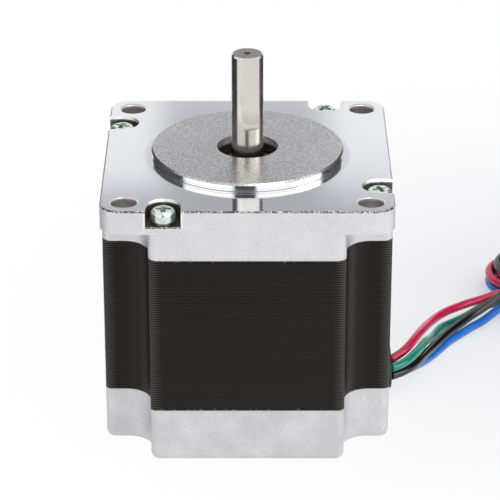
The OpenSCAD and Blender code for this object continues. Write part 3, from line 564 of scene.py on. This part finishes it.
MATS = {
    "cast_front": cast_metal("cast_front", (0.81, 0.81, 0.82), rough=0.46, mottle=0.07, wear_and_highlights=True),
    "cast_rear": cast_metal("cast_rear", (0.76, 0.76, 0.77), rough=0.5, mottle=0.16),
    # the pocket walls: a painted highlight along the top, painted shade lower down
    "pocket": cut_wall("pocket_wall", (0.20, 0.165, 0.14), (0.95, 0.945, 0.93), line_z=-0.7,
                       rough=0.3, ragged=0.3, bevel_z=-0.6),
    "flange": polished_face(),
    "edge": edge_metal(),
    "boss_top": blasted_metal(),
    "boss_side": boss_side(),
    # the bore: painted shade, almost black, below the lighter band at its top
    "bore": cut_wall("bore_wall", (0.035, 0.03, 0.025), (0.70, 0.67, 0.625), line_z=0.2,
                     rough=0.26, ragged=0.2, metal=0.7),
    # the holes: a painted highlight at the top, a little painted shade below
    "hole": cut_wall("hole_wall", (0.52, 0.49, 0.465), (0.92, 0.915, 0.90), line_z=-0.7,
                     rough=0.3, ragged=0.4, bevel_z=-0.4),
    "lamination": lamination_metal(),
    "zinc": zinc("zinc", (0.52, 0.62, 0.55), (0.86, 0.92, 0.88)),
    # the darker zinc of the cross recesses is painted shade: the plating there is the same
    "zinc_recess_shade": zinc("zinc_recess_shade", (0.05, 0.09, 0.065), (0.40, 0.52, 0.44)),
    "shaft": shaft_steel(),
    "flat": flat_steel(),
    "shaft_end": end_steel(),
    "race": smooth_steel("race_steel", (0.80, 0.79, 0.78), rough=0.16),
    "shield": smooth_steel("shield_steel", (0.70, 0.685, 0.66), rough=0.3),
    "cage": moulded("cage_nylon", (0.50, 0.46, 0.34), (0.62, 0.58, 0.44), rough=0.45),
    "rotor": moulded("rotor_steel", (0.20, 0.20, 0.205), (0.34, 0.34, 0.345), rough=0.32,
                     metal=0.9),
    "magnet": moulded("magnet_skin", (0.07, 0.07, 0.072), (0.13, 0.13, 0.133), rough=0.4,
                      metal=0.7),
    "bobbin": moulded("bobbin_nylon", (0.66, 0.63, 0.55), (0.78, 0.75, 0.68), rough=0.42),
    "windings": windings(),
    "grommet": moulded("grommet_rubber", (0.012, 0.012, 0.013), (0.030, 0.030, 0.032), rough=0.5),
    "red": sheath("sheath_red", (0.54, 0.004, 0.055), (0.62, 0.008, 0.075)),
    "green": sheath("sheath_green", (0.001, 0.235, 0.165), (0.002, 0.290, 0.205)),
    "blue": sheath("sheath_blue", (0.008, 0.135, 0.56), (0.014, 0.185, 0.68)),
    "black": sheath("sheath_black", (0.002, 0.002, 0.0025), (0.005, 0.005, 0.006)),
    "tinned": smooth_steel("tinned_strands", (0.78, 0.78, 0.79), rough=0.2),
}


# Finishes of the CAD nodes, with sizes in mm
BORE_SIDE_R = 6.3  # just past the bore through the boss
CHAMBER_R = 13.0  # past the bearing's seat, below CHAMBER_Z
CHAMBER_Z = -1.2
RIM_R = 15.0  # the boss's wall and its broken edge lie past this
EDGE_Z = -0.32  # just below the flange's broken edge
CENTRE_MARK_R = 1.2


def paint(node, *keys, pick=None):
    """Gives a CAD node one material, or the one that pick names for each face."""
    data = NODES[node].data
    data.materials.clear()
    for key in keys:
        data.materials.append(MATS[key])
    for face in data.polygons:
        face.material_index = keys.index(pick(face.center / MM, face.normal)) if pick else 0


def near(c, places, away):
    """Whether c lies less than away from one of the places, seen from above."""
    return any(math.hypot(c.x - x, c.y - y) < away for x, y in places)


def front_finish(c, n):
    """The finish of a face of the front cap, by its centre in mm and its normal."""
    r = math.hypot(c.x, c.y)
    inside = max(abs(c.x), abs(c.y)) < HALF_W - 0.02
    if r < BORE_SIDE_R or (r < CHAMBER_R and c.z < CHAMBER_Z):
        return "bore"
    if c.z > 0.02 and r > RIM_R:
        return "boss_top" if n.z > 0.3 and c.z > PILOT_H - 0.5 else "boss_side"
    if c.z > PILOT_H - 0.05:
        return "boss_top"
    if n.z > 0.99 and abs(c.z) < 0.05:
        return "flange"
    if near(c, HOLES, HOLE_R + 0.4) and c.z > -FLANGE_T - 0.1:
        return "hole"
    if near(c, SCREWS, POCKET_W * 0.75) and c.z > -POCKET_DEPTH - 0.2 and inside:
        return "pocket"
    if c.z > EDGE_Z and n.y < -0.3:
        return "edge"
    return "cast_front"


def shaft_finish(c, n):
    """The finish of a face of the shaft, by its centre in mm and its normal."""
    r = math.hypot(c.x, c.y)
    if n.z > 0.9 or (c.z > SHAFT_TOP - 0.9 and r < CENTRE_MARK_R):
        return "shaft_end"
    if r < SHAFT_R - 0.2 and c.z > SHAFT_TOP - FLAT_L - 0.2:
        return "flat"
    return "shaft"


paint("front_cap", "cast_front", "flange", "edge", "boss_top", "boss_side", "bore", "hole",
      "pocket", pick=front_finish)
paint("rear_cap", "cast_rear")
paint("stator_stack", "lamination")
paint("shaft", "shaft", "flat", "shaft_end", pick=shaft_finish)
paint("rotor_magnet", "magnet")
paint("lead_grommet", "grommet")
paint("wave_washer", "shield")
paint("coils_phase_a", "windings")
paint("coils_phase_b", "windings")
for end in ("front", "rear"):
    paint("rotor_cup_" + end, "rotor")
    paint(end + "_bobbin", "bobbin")
    for part in ("outer_race", "inner_race", "balls"):
        paint(end + "_" + part, "race")
    paint(end + "_cage", "cage")
    paint(end + "_shields", "shield")


def new_piece(name, verts, faces, key, body, smooth=True):
    """A mesh piece from points in mm, riding on a body."""
    data = bpy.data.meshes.new(name)
    data.from_pydata([Vector(v) * MM for v in verts], [], faces)
    data.materials.append(MATS[key])
    data.update()
    if smooth:
        data.shade_smooth()
    obj = add_object(name, data)
    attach(obj, body)
    return obj


# Leads, in mm
LEAD_SIDES = 16
FREE_STEP = 0.45  # from ring to ring of the mesh in the free stretch
STORED_STEP = 0.6  # and in the coil
EASE_ROUNDS = 36
STRANDS = 7
STRAND_SIDES = 8
STRAND_STEPS = 28
TWIST = 55.0  # degrees a mm
SUNK = 0.6  # how deep the strands reach into the sheath
# Steps to a straight run and to a bend of the coil, in the CAD source and here
CAD_STEPS = (4, 8)
FINE_STEPS = (16, 24)


def length_of(points):
    return sum((b - a).length for a, b in zip(points, points[1:]))


def from_floor(route):
    """A route's points in the shared frame."""
    return [Vector((LEAD_FACE_X, 0, FOOT_Z)) + Vector(p) for p in route]


def spiral(run, run_steps, bend_steps):
    """The flat spiral of the stored length: straight runs and half circles, winding inwards."""
    points = [Vector((0, 0, 0))]
    for half in range(2 * COIL_TURNS):
        sign = 1 if half % 2 == 0 else -1
        end_x = run if sign > 0 else 0.0
        for k in range(1, run_steps):
            x = end_x - sign * run * (1 - k / run_steps)
            y = COIL_BEND_R - sign * (COIL_BEND_R - COIL_STEP / 2 * half)
            points.append(Vector((x, y, 0)))
        for k in range(bend_steps + 1):
            a = math.pi * k / bend_steps
            r = COIL_BEND_R - COIL_STEP / 2 * (half + k / bend_steps)
            x = end_x + sign * r * math.sin(a)
            y = COIL_BEND_R - sign * r * math.cos(a)
            points.append(Vector((x, y, 0)))
    return points


def left_over(route):
    """What a sheath has left for the coil's runs and the tail, counted as in the CAD source."""
    bends = length_of(spiral(0.0, *CAD_STEPS))
    return LEAD_L - TIP_L - length_of(from_floor(route)) - bends


# The straight runs take what the longest route leaves over, but for its tail
SPARE = min(left_over(route) for route in ROUTES.values()) - TAIL_L
COIL_RUN = round(SPARE / (2 * COIL_TURNS), 3)


def catmull(points, per=8):
    """A smooth curve through the points, with straight ends."""
    p = [points[0] - Vector((1.5, 0, 0))] + points + [points[-1] + Vector((3, 0, 0))]
    out = []
    for a, b, c, d in zip(p, p[1:], p[2:], p[3:]):
        for k in range(per):
            t = k / per
            out.append(0.5 * (2 * b + (c - a) * t + (2 * a - 5 * b + 4 * c - d) * t * t
                              + (3 * b - a - 3 * c + d) * t ** 3))
    return out + [points[-1]]


def resample(points, step):
    """Points at an even distance along a polyline."""
    marks = [0.0]
    for a, b in zip(points, points[1:]):
        marks.append(marks[-1] + (b - a).length)
    count = max(2, round(marks[-1] / step))
    out, i = [], 0
    for k in range(count + 1):
        at = marks[-1] * k / count
        while i < len(marks) - 2 and marks[i + 1] < at:
            i += 1
        t = (at - marks[i]) / max(1e-9, marks[i + 1] - marks[i])
        out.append(points[i].lerp(points[i + 1], min(1, max(0, t))))
    return out


def relaxed(points, rounds):
    """Eases the sharpest bends a little, with both ends held."""
    for _ in range(rounds):
        inner = [(a + 2 * b + c) / 4 for a, b, c in zip(points[1:], points[2:], points[3:])]
        points = points[:2] + inner[:-1] + points[-2:]
    return points


def sweep(points, radii, sides, verts, faces):
    """Adds a closed tube along the points, with a radius at each point."""
    base = len(verts)
    up = Vector((0, 0, 1))
    for i, p in enumerate(points):
        along = (points[min(i + 1, len(points) - 1)] - points[max(i - 1, 0)]).normalized()
        side = along.cross(up).normalized()
        up = side.cross(along).normalized()
        for k in range(sides):
            a = 2 * math.pi * k / sides
            verts.append(p + radii[i] * (math.cos(a) * side + math.sin(a) * up))
    for i in range(len(points) - 1):
        for k in range(sides):
            a = base + i * sides + k
            b = base + i * sides + (k + 1) % sides
            faces.append((a, a + sides, b + sides, b))
    last = base + (len(points) - 1) * sides
    faces.append([base + k for k in range(sides)])
    faces.append([last + k for k in reversed(range(sides))])


def lead_path(colour):
    """The whole sheath, from the grommet's face to the stripped end."""
    route = from_floor(ROUTES[colour])
    free = relaxed(resample(catmull(route), FREE_STEP), EASE_ROUNDS)
    coil = [route[-1] + p for p in spiral(COIL_RUN, *FINE_STEPS)]
    tail = left_over(ROUTES[colour]) - 2 * COIL_TURNS * COIL_RUN
    coil += [coil[-1] + Vector((tail * k / 6, 0, 0)) for k in range(1, 7)]
    return free[:-1] + resample(coil, STORED_STEP)


def make_lead(colour):
    path = lead_path(colour)
    radii = [LEAD_D / 2] * len(path)
    # the cut end is a little rounded
    path.append(path[-1] + Vector((0.08, 0, 0)))
    radii.append(LEAD_D / 2 - 0.1)
    verts, faces = [], []
    sweep(path, radii, LEAD_SIDES, verts, faces)
    lead = new_piece("flying_lead_" + colour, verts, faces, colour, "housing")
    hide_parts("lead_" + colour, "lead_" + colour + "_coil")

    tip = make_tip(colour, path[-1])


def make_tip(colour, start):
    """Tinned strands with a light twist, six round a middle one."""
    verts, faces = [], []
    strand_r = TIP_D / 6
    for strand in range(STRANDS):
        out = 0.0 if strand == STRANDS - 1 else 2 * strand_r * 0.97
        points = []
        for k in range(STRAND_STEPS + 1):
            x = -SUNK + (TIP_L + SUNK - 0.15) * k / STRAND_STEPS
            turn = math.radians(60 * strand + TWIST * x)
            points.append(start + Vector((x, out * math.cos(turn), out * math.sin(turn))))
        radii = [strand_r] * len(points) + [strand_r / 2]
        points.append(points[-1] + Vector((0.05, 0, 0)))
        sweep(points, radii, STRAND_SIDES, verts, faces)
    tip = new_piece("bare_end_" + colour, verts, faces, "tinned", "housing")
    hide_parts("lead_" + colour + "_tip")
    return tip


# The tie's band and its head
TIE_W = 2.6
TIE_T = 0.35
TIE_HEAD = (4.4, 5.2, 3.0)
TIE_HEAD_BEVEL = 0.5


def make_tie():
    """A nylon tie round the middle of the stored leads, with its head on top."""
    starts = [from_floor(route)[-1] for route in ROUTES.values()]
    middle_x = sum(p.x for p in starts) / len(starts) + COIL_RUN / 2
    wire = LEAD_D / 2
    near_y = starts[0].y
    far_y = near_y + 2 * COIL_BEND_R - COIL_STEP / 2
    low = FOOT_Z + TIE_T + wire
    high = max(p.z for p in starts)
    verts, faces = [], []

    # a band of four vertices to each step, bent round the outermost wires
    corners = [(far_y, low), (far_y, high), (near_y, high), (near_y, low)]
    loop = []
    for i, (y, z) in enumerate(corners):
        loop += [(y, z, math.radians(90 * (i - 1) + 15 * k)) for k in range(7)]
    for y, z, a in loop:
        for r in (wire, wire + TIE_T):
            for x in (middle_x - TIE_W / 2, middle_x + TIE_W / 2):
                verts.append((x, y + r * math.cos(a), z + r * math.sin(a)))
    for i in range(len(loop)):
        a = 4 * i
        b = 4 * ((i + 1) % len(loop))
        for u, v in ((0, 1), (1, 3), (3, 2), (2, 0)):
            faces.append((a + u, b + u, b + v, a + v))

    # a block with a bevelled top
    base = len(verts)
    length, width, height = TIE_HEAD
    middle_y = (near_y + far_y) / 2
    foot = high + wire + TIE_T / 2
    for z, inset in ((0, 0), (height - TIE_HEAD_BEVEL, 0), (height, TIE_HEAD_BEVEL)):
        for sx, sy in ((-1, -1), (1, -1), (1, 1), (-1, 1)):
            x = middle_x + sx * (length / 2 - inset)
            y = middle_y + sy * (width / 2 - inset)
            verts.append((x, y, foot + z))
    faces.append((base + 3, base + 2, base + 1, base))
    for ring in (base, base + 4):
        for k in range(4):
            a = ring + k
            b = ring + (k + 1) % 4
            faces.append((a, b, b + 4, a + 4))
    faces.append((base + 8, base + 9, base + 10, base + 11))
    tie = new_piece("lead_tie", verts, faces, "bobbin", "housing", smooth=False)


for colour in ROUTES:
    make_lead(colour)
make_tie()


# Lamination sheets, in mm
SHEET_GROOVE = 0.07
SHEET_BEVEL = 0.15
SHEET_SPREAD = 0.016
SIDE_STEP = 3.0
SCREW_BORE_R = 1.7  # just past the holes for the case screws


def body_outline():
    """The notched square, anticlockwise from the right side, in mm."""
    inner = HALF_W - NOTCH_W
    centre = inner + NOTCH_R
    edge = LAM_EDGE_R
    quarter = [(HALF_W, k * SIDE_STEP) for k in range(-5, 6)]
    for cx, cy, r, start, end, steps in ((HALF_W - edge, inner - edge, edge, 0, 90, 8),
                                         (centre, centre, NOTCH_R, 270, 180, 16),
                                         (inner - edge, HALF_W - edge, edge, 0, 90, 8)):
        for k in range(steps + 1):
            a = math.radians(start + (end - start) * k / steps)
            quarter.append((cx + r * math.cos(a), cy + r * math.sin(a)))
    points = []
    for c, s in QUARTERS:
        points += [(c * x - s * y, s * x + c * y) for x, y in quarter]
    return points


def outward(outline):
    """The outward direction at each point of the outline."""
    out = []
    for i in range(len(outline)):
        (ax, ay), (bx, by) = outline[i - 1], outline[(i + 1) % len(outline)]
        d = Vector((by - ay, ax - bx))
        out.append(d.normalized() if d.length > 1e-9 else Vector((0, 0)))
    return out


def make_sheets():
    """The stack with every sheet's edge standing a little proud of the joints between sheets."""
    outline = body_outline()
    normals = outward(outline)
    rng = random.Random(7)
    pitch = (STACK_TOP_Z - STACK_END_Z) / SHEETS
    rings = []
    for i in range(SHEETS):
        low = STACK_END_Z + pitch * i
        proud = rng.uniform(-SHEET_SPREAD, 0.0)
        rings.append((low, 0.0 if i == 0 else -SHEET_GROOVE))
        rings.append((low + SHEET_BEVEL, proud))
        rings.append((low + pitch - SHEET_BEVEL, proud))
    rings.append((STACK_TOP_Z, 0.0))
    verts, faces = [], []
    for z, push in rings:
        verts += [(x + n.x * push, y + n.y * push, z) for (x, y), n in zip(outline, normals)]
    count = len(outline)
    for i in range(len(rings) - 1):
        for k in range(count):
            a = i * count + k
            b = i * count + (k + 1) % count
            faces.append((a, b, b + count, a + count))

    # the ends, the slots, the poles and the screw holes come from the CAD solid
    mesh = bmesh.new()
    mesh.from_mesh(NODES["stator_stack"].data)
    for face in list(mesh.faces):
        c = face.calc_center_median() / MM
        outer = math.hypot(c.x, c.y) > SLOT_R + 0.5 and not near(c, SCREWS, SCREW_BORE_R)
        if outer and abs(face.normal.z) < 0.5:
            mesh.faces.remove(face)
    base = len(verts)
    index = {v: base + i for i, v in enumerate(mesh.verts)}
    verts += [v.co / MM for v in mesh.verts]
    faces += [[index[v] for v in face.verts] for face in mesh.faces]
    mesh.free()
    sheets = new_piece("lamination_sheets", verts, faces, "lamination", "housing", smooth=False)
    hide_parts("stator_stack")


make_sheets()


# Case screws, in mm above the pockets' floors
HEAD_R = 2.5
HEAD_H = 2.75
HEAD_SIDE = 1.05  # height at which the shoulder starts
SCREW_TURNS = [0, 24, 52, 71]  # degrees
SCREW_SIDES = 128
RECESS_DEPTH = 1.3
RECESS_R = 0.72  # the deep middle's radius
WING_HALF = 0.43
WING_REACH = 1.62
STEEP = 4.0  # depth to a mm of width at the sides
SLOPING = 1.15  # and at the wings' ends

# Radii of the rings over the head, finer towards the rim
CROWN = [0.06 * k for k in range(1, 30)]
CROWN += [1.84, 1.95, 2.06, 2.16, 2.25, 2.33, 2.39, 2.44, 2.48, HEAD_R]
# Radius and height of the rings below: the head's rolled lower edge, its seat, and the shank
SKIRT = [(HEAD_R, 0.75), (2.49, 0.60), (2.45, 0.46), (2.38, 0.36), (2.28, 0.29), (2.12, 0.26),
         (1.95, 0.26), (1.95, 0), (SCREW_R, 0), (SCREW_R, SCREW_END_Z + POCKET_DEPTH + 0.4),
         (SCREW_R - 0.4, SCREW_END_Z + POCKET_DEPTH)]


def recess(x, y):
    """Depth of the cross recess: wings with steep sides and sloping ends, and a deep middle."""
    def wing(u, v):
        return min((WING_HALF - abs(v)) * STEEP, (WING_REACH - abs(u)) * SLOPING, RECESS_DEPTH)
    middle = min((RECESS_R - math.hypot(x, y)) * STEEP, RECESS_DEPTH)
    return max(0.0, wing(x, y), wing(y, x), middle)


def shoulder(r):
    """Height of the head's top at a radius, without its recess."""
    return HEAD_SIDE + (HEAD_H - HEAD_SIDE) * (1 - min(1.0, r / HEAD_R) ** 4) ** (1 / 3)


def screw_rings(turn):
    """Points round one screw, ring by ring from the head's crown down."""
    c, s = math.cos(math.radians(turn)), math.sin(math.radians(turn))
    # the crown's heights come from its shape
    for r, height in [(r, None) for r in CROWN] + SKIRT:
        for k in range(SCREW_SIDES):
            a = 2 * math.pi * k / SCREW_SIDES
            x, y = r * math.cos(a), r * math.sin(a)
            z = shoulder(r) - recess(c * x + s * y, c * y - s * x) if height is None else height
            yield x, y, z


def make_screws():
    """Pan head screws: a head with a round shoulder, a cross recess and a rolled lower edge."""
    sides, verts, faces = SCREW_SIDES, [], []
    for (x0, y0), turn in zip(SCREWS, SCREW_TURNS):
        base = len(verts)
        verts.append((x0, y0, HEAD_H - recess(0, 0) - POCKET_DEPTH))
        verts += [(x0 + x, y0 + y, z - POCKET_DEPTH) for x, y, z in screw_rings(turn)]
        first = base + 1
        faces += [(base, first + k, first + (k + 1) % sides) for k in range(sides)]
        for ring in range(len(CROWN) + len(SKIRT) - 1):
            at = first + ring * sides
            for k in range(sides):
                after = (k + 1) % sides
                faces.append((at + k, at + sides + k, at + sides + after, at + after))
        last = first + (len(CROWN) + len(SKIRT) - 1) * sides
        faces.append([last + k for k in reversed(range(sides))])
    screws = new_piece("cross_head_screws", verts, faces, "zinc", "housing")
    # faces deep in the cross recess take the darker zinc, as painted shade
    screws.data.materials.append(MATS["zinc_recess_shade"])
    for face in screws.data.polygons:
        x, y, z = face.center / MM
        r = min(math.hypot(x - x0, y - y0) for x0, y0 in SCREWS)
        sunk = shoulder(r) - POCKET_DEPTH - z
        face.material_index = 1 if r < WING_REACH + 0.18 and sunk > 0.12 else 0
    screws.data.set_sharp_from_angle(angle=math.radians(38))
    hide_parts("case_screws")


make_screws()


# Studio, in metres
WORLD_LIGHT = 0.66
FLOOR_Z = FOOT_Z * MM
FLOOR_HALF = 3.0
SHADE_AT = (0.078, 0.050)  # middle of the painted shadow on the floor, a darker patch
SHADE_R = 0.145
WHITE_SHARE = (0.99, 0.22)  # outside the patch and in its middle
CARD_STEP = 8  # degrees
WARM = (1, 0.985, 0.965)


def seen_directly(shade):
    """1 for rays that show the background itself: camera, glossy and transmission rays."""
    path = shade.tree.nodes.new("ShaderNodeLightPath").outputs
    seen = shade.larger(path["Is Camera Ray"], path["Is Glossy Ray"])
    return shade.larger(seen, path["Is Transmission Ray"])


def make_world():
    """White where it is seen, and a soft even light."""
    world = bpy.data.worlds.new("studio")
    bpy.context.scene.world = world
    world.use_nodes = True
    world.node_tree.nodes.clear()
    shade = Nodes(world.node_tree)
    light = shade.node("ShaderNodeBackground", Color=(1, 1, 1), Strength=WORLD_LIGHT)
    white = shade.node("ShaderNodeBackground", Color=(1, 1, 1), Strength=1.0)
    both = shade.node("ShaderNodeMixShader", i0=seen_directly(shade), i1=light, i2=white)
    shade.end("ShaderNodeOutputWorld", both)


def make_floor():
    """A pale floor, almost white where it is seen, with a painted shadow beside the leads where
    less white is mixed in and the real shadow shows darker.
    """
    m = Mat("floor", Base_Color=(0.82, 0.81, 0.88), Roughness=0.8)
    centre = (*SHADE_AT, FLOOR_Z)
    around = m.node("ShaderNodeMapping", Vector=m.place, Scale=(1 / SHADE_R,) * 3,
                    Location=tuple(-v / SHADE_R for v in centre))
    # painted shadow: a round patch where the floor shows less white and more of its darker lit
    # colour
    spot = m.node("ShaderNodeTexGradient", "Fac", {"gradient_type": "QUADRATIC_SPHERE"},
                  Vector=around)
    level = m.node("ShaderNodeMapRange", Value=spot, To_Min=WHITE_SHARE[0], To_Max=WHITE_SHARE[1])
    share = m.mul(level, seen_directly(m))
    glow = m.node("ShaderNodeEmission")
    surface = m.node("ShaderNodeMixShader", i0=share, i1=m.bsdf.outputs[0], i2=glow)
    m.put(m.tree.nodes["Material Output"].inputs["Surface"], surface)

    data = bpy.data.meshes.new("floor")
    corners = ((-1, -1), (1, -1), (1, 1), (-1, 1))
    verts = [(sx * FLOOR_HALF, sy * FLOOR_HALF, FLOOR_Z) for sx, sy in corners]
    data.from_pydata(verts, [], [(0, 1, 2, 3)])
    data.materials.append(m.mat)
    floor = add_object("floor", data)


def make_key(place, size, power):
    """A square lamp that points at the shared frame's origin."""
    data = bpy.data.lights.new("key", "AREA")
    data.shape = "SQUARE"
    data.size = size
    data.energy = power
    lamp = add_object("key", data)
    lamp.location = place
    lamp.rotation_euler = (-Vector(place)).to_track_quat("-Z", "Y").to_euler()


def make_card(name, first, last, radius, low, high, level, tint=(1, 1, 1), clear=None,
              lights=False):
    """A bent card that stands round the motor, seen in reflections only.

    It runs from one azimuth to another: 0 is towards the camera and 90 towards the right. clear
    makes a socket that says where the card is clear. With lights, it also lights what it faces.
    """
    mat = bpy.data.materials.new(name)
    mat.use_nodes = True
    mat.node_tree.nodes.clear()
    shade = Nodes(mat.node_tree)
    surface = shade.node("ShaderNodeEmission", Color=tint, Strength=level)
    if clear:
        air = shade.node("ShaderNodeBsdfTransparent")
        surface = shade.node("ShaderNodeMixShader", i0=clear(shade), i1=surface, i2=air)
    shade.end("ShaderNodeOutputMaterial", surface)

    steps = max(2, round(abs(last - first) / CARD_STEP))
    verts = []
    for k in range(steps + 1):
        a = math.radians(first + (last - first) * k / steps)
        verts += [(math.sin(a) * radius, -math.cos(a) * radius, z) for z in (low, high)]
    data = bpy.data.meshes.new(name)
    data.from_pydata(verts, [], [(2 * k, 2 * k + 2, 2 * k + 3, 2 * k + 1) for k in range(steps)])
    data.materials.append(mat)
    card = add_object(name, data)
    card.visible_camera = card.visible_shadow = card.visible_transmission = False
    card.visible_diffuse = lights


def back_card_clear(shade):
    """Clear below a wide band, apart from a soft column in the middle that thins out downwards."""
    x, y, z = shade.axes()
    band = shade.range(z, 0.2645, 0.2765)
    off = shade.absolute(shade.add(x, 0.002))
    column = shade.sub(1.0, shade.range(off, 0.026, 0.046))
    strength = shade.add(shade.mul(shade.range(z, 0.233, 0.241), 0.4), 0.6)
    return shade.sub(1.0, shade.larger(band, shade.mul(column, strength)))


make_world()
make_floor()
make_key(place=(0.25, -0.45, 0.75), size=0.5, power=2.0)
make_card("dark_left", -77, -147, radius=0.125, low=FLOOR_Z, high=0.09, level=0.04)
make_card("dark_right", 95, 147, radius=0.150, low=FLOOR_Z, high=0.11, level=0.04)
make_card("dark_front", -15, 9.5, radius=0.45, low=0.08, high=1.2, level=0.03)
make_card("grey_back", 170, 190, radius=0.60, low=0.20, high=0.50, level=0.47,
          tint=(0.96, 0.98, 1.03), clear=back_card_clear)
make_card("softbox_right", 12, 62, radius=0.60, low=0.02, high=0.54, level=1.4, tint=WARM)
make_card("softbox_side", 62, 95, radius=0.60, low=0.02, high=0.54, level=2.6, tint=WARM,
          lights=True)
make_card("softbox_left", -18, -77, radius=0.60, low=0.02, high=0.54, level=1.45, tint=WARM)

bpy.context.scene.view_settings.view_transform = "Standard"
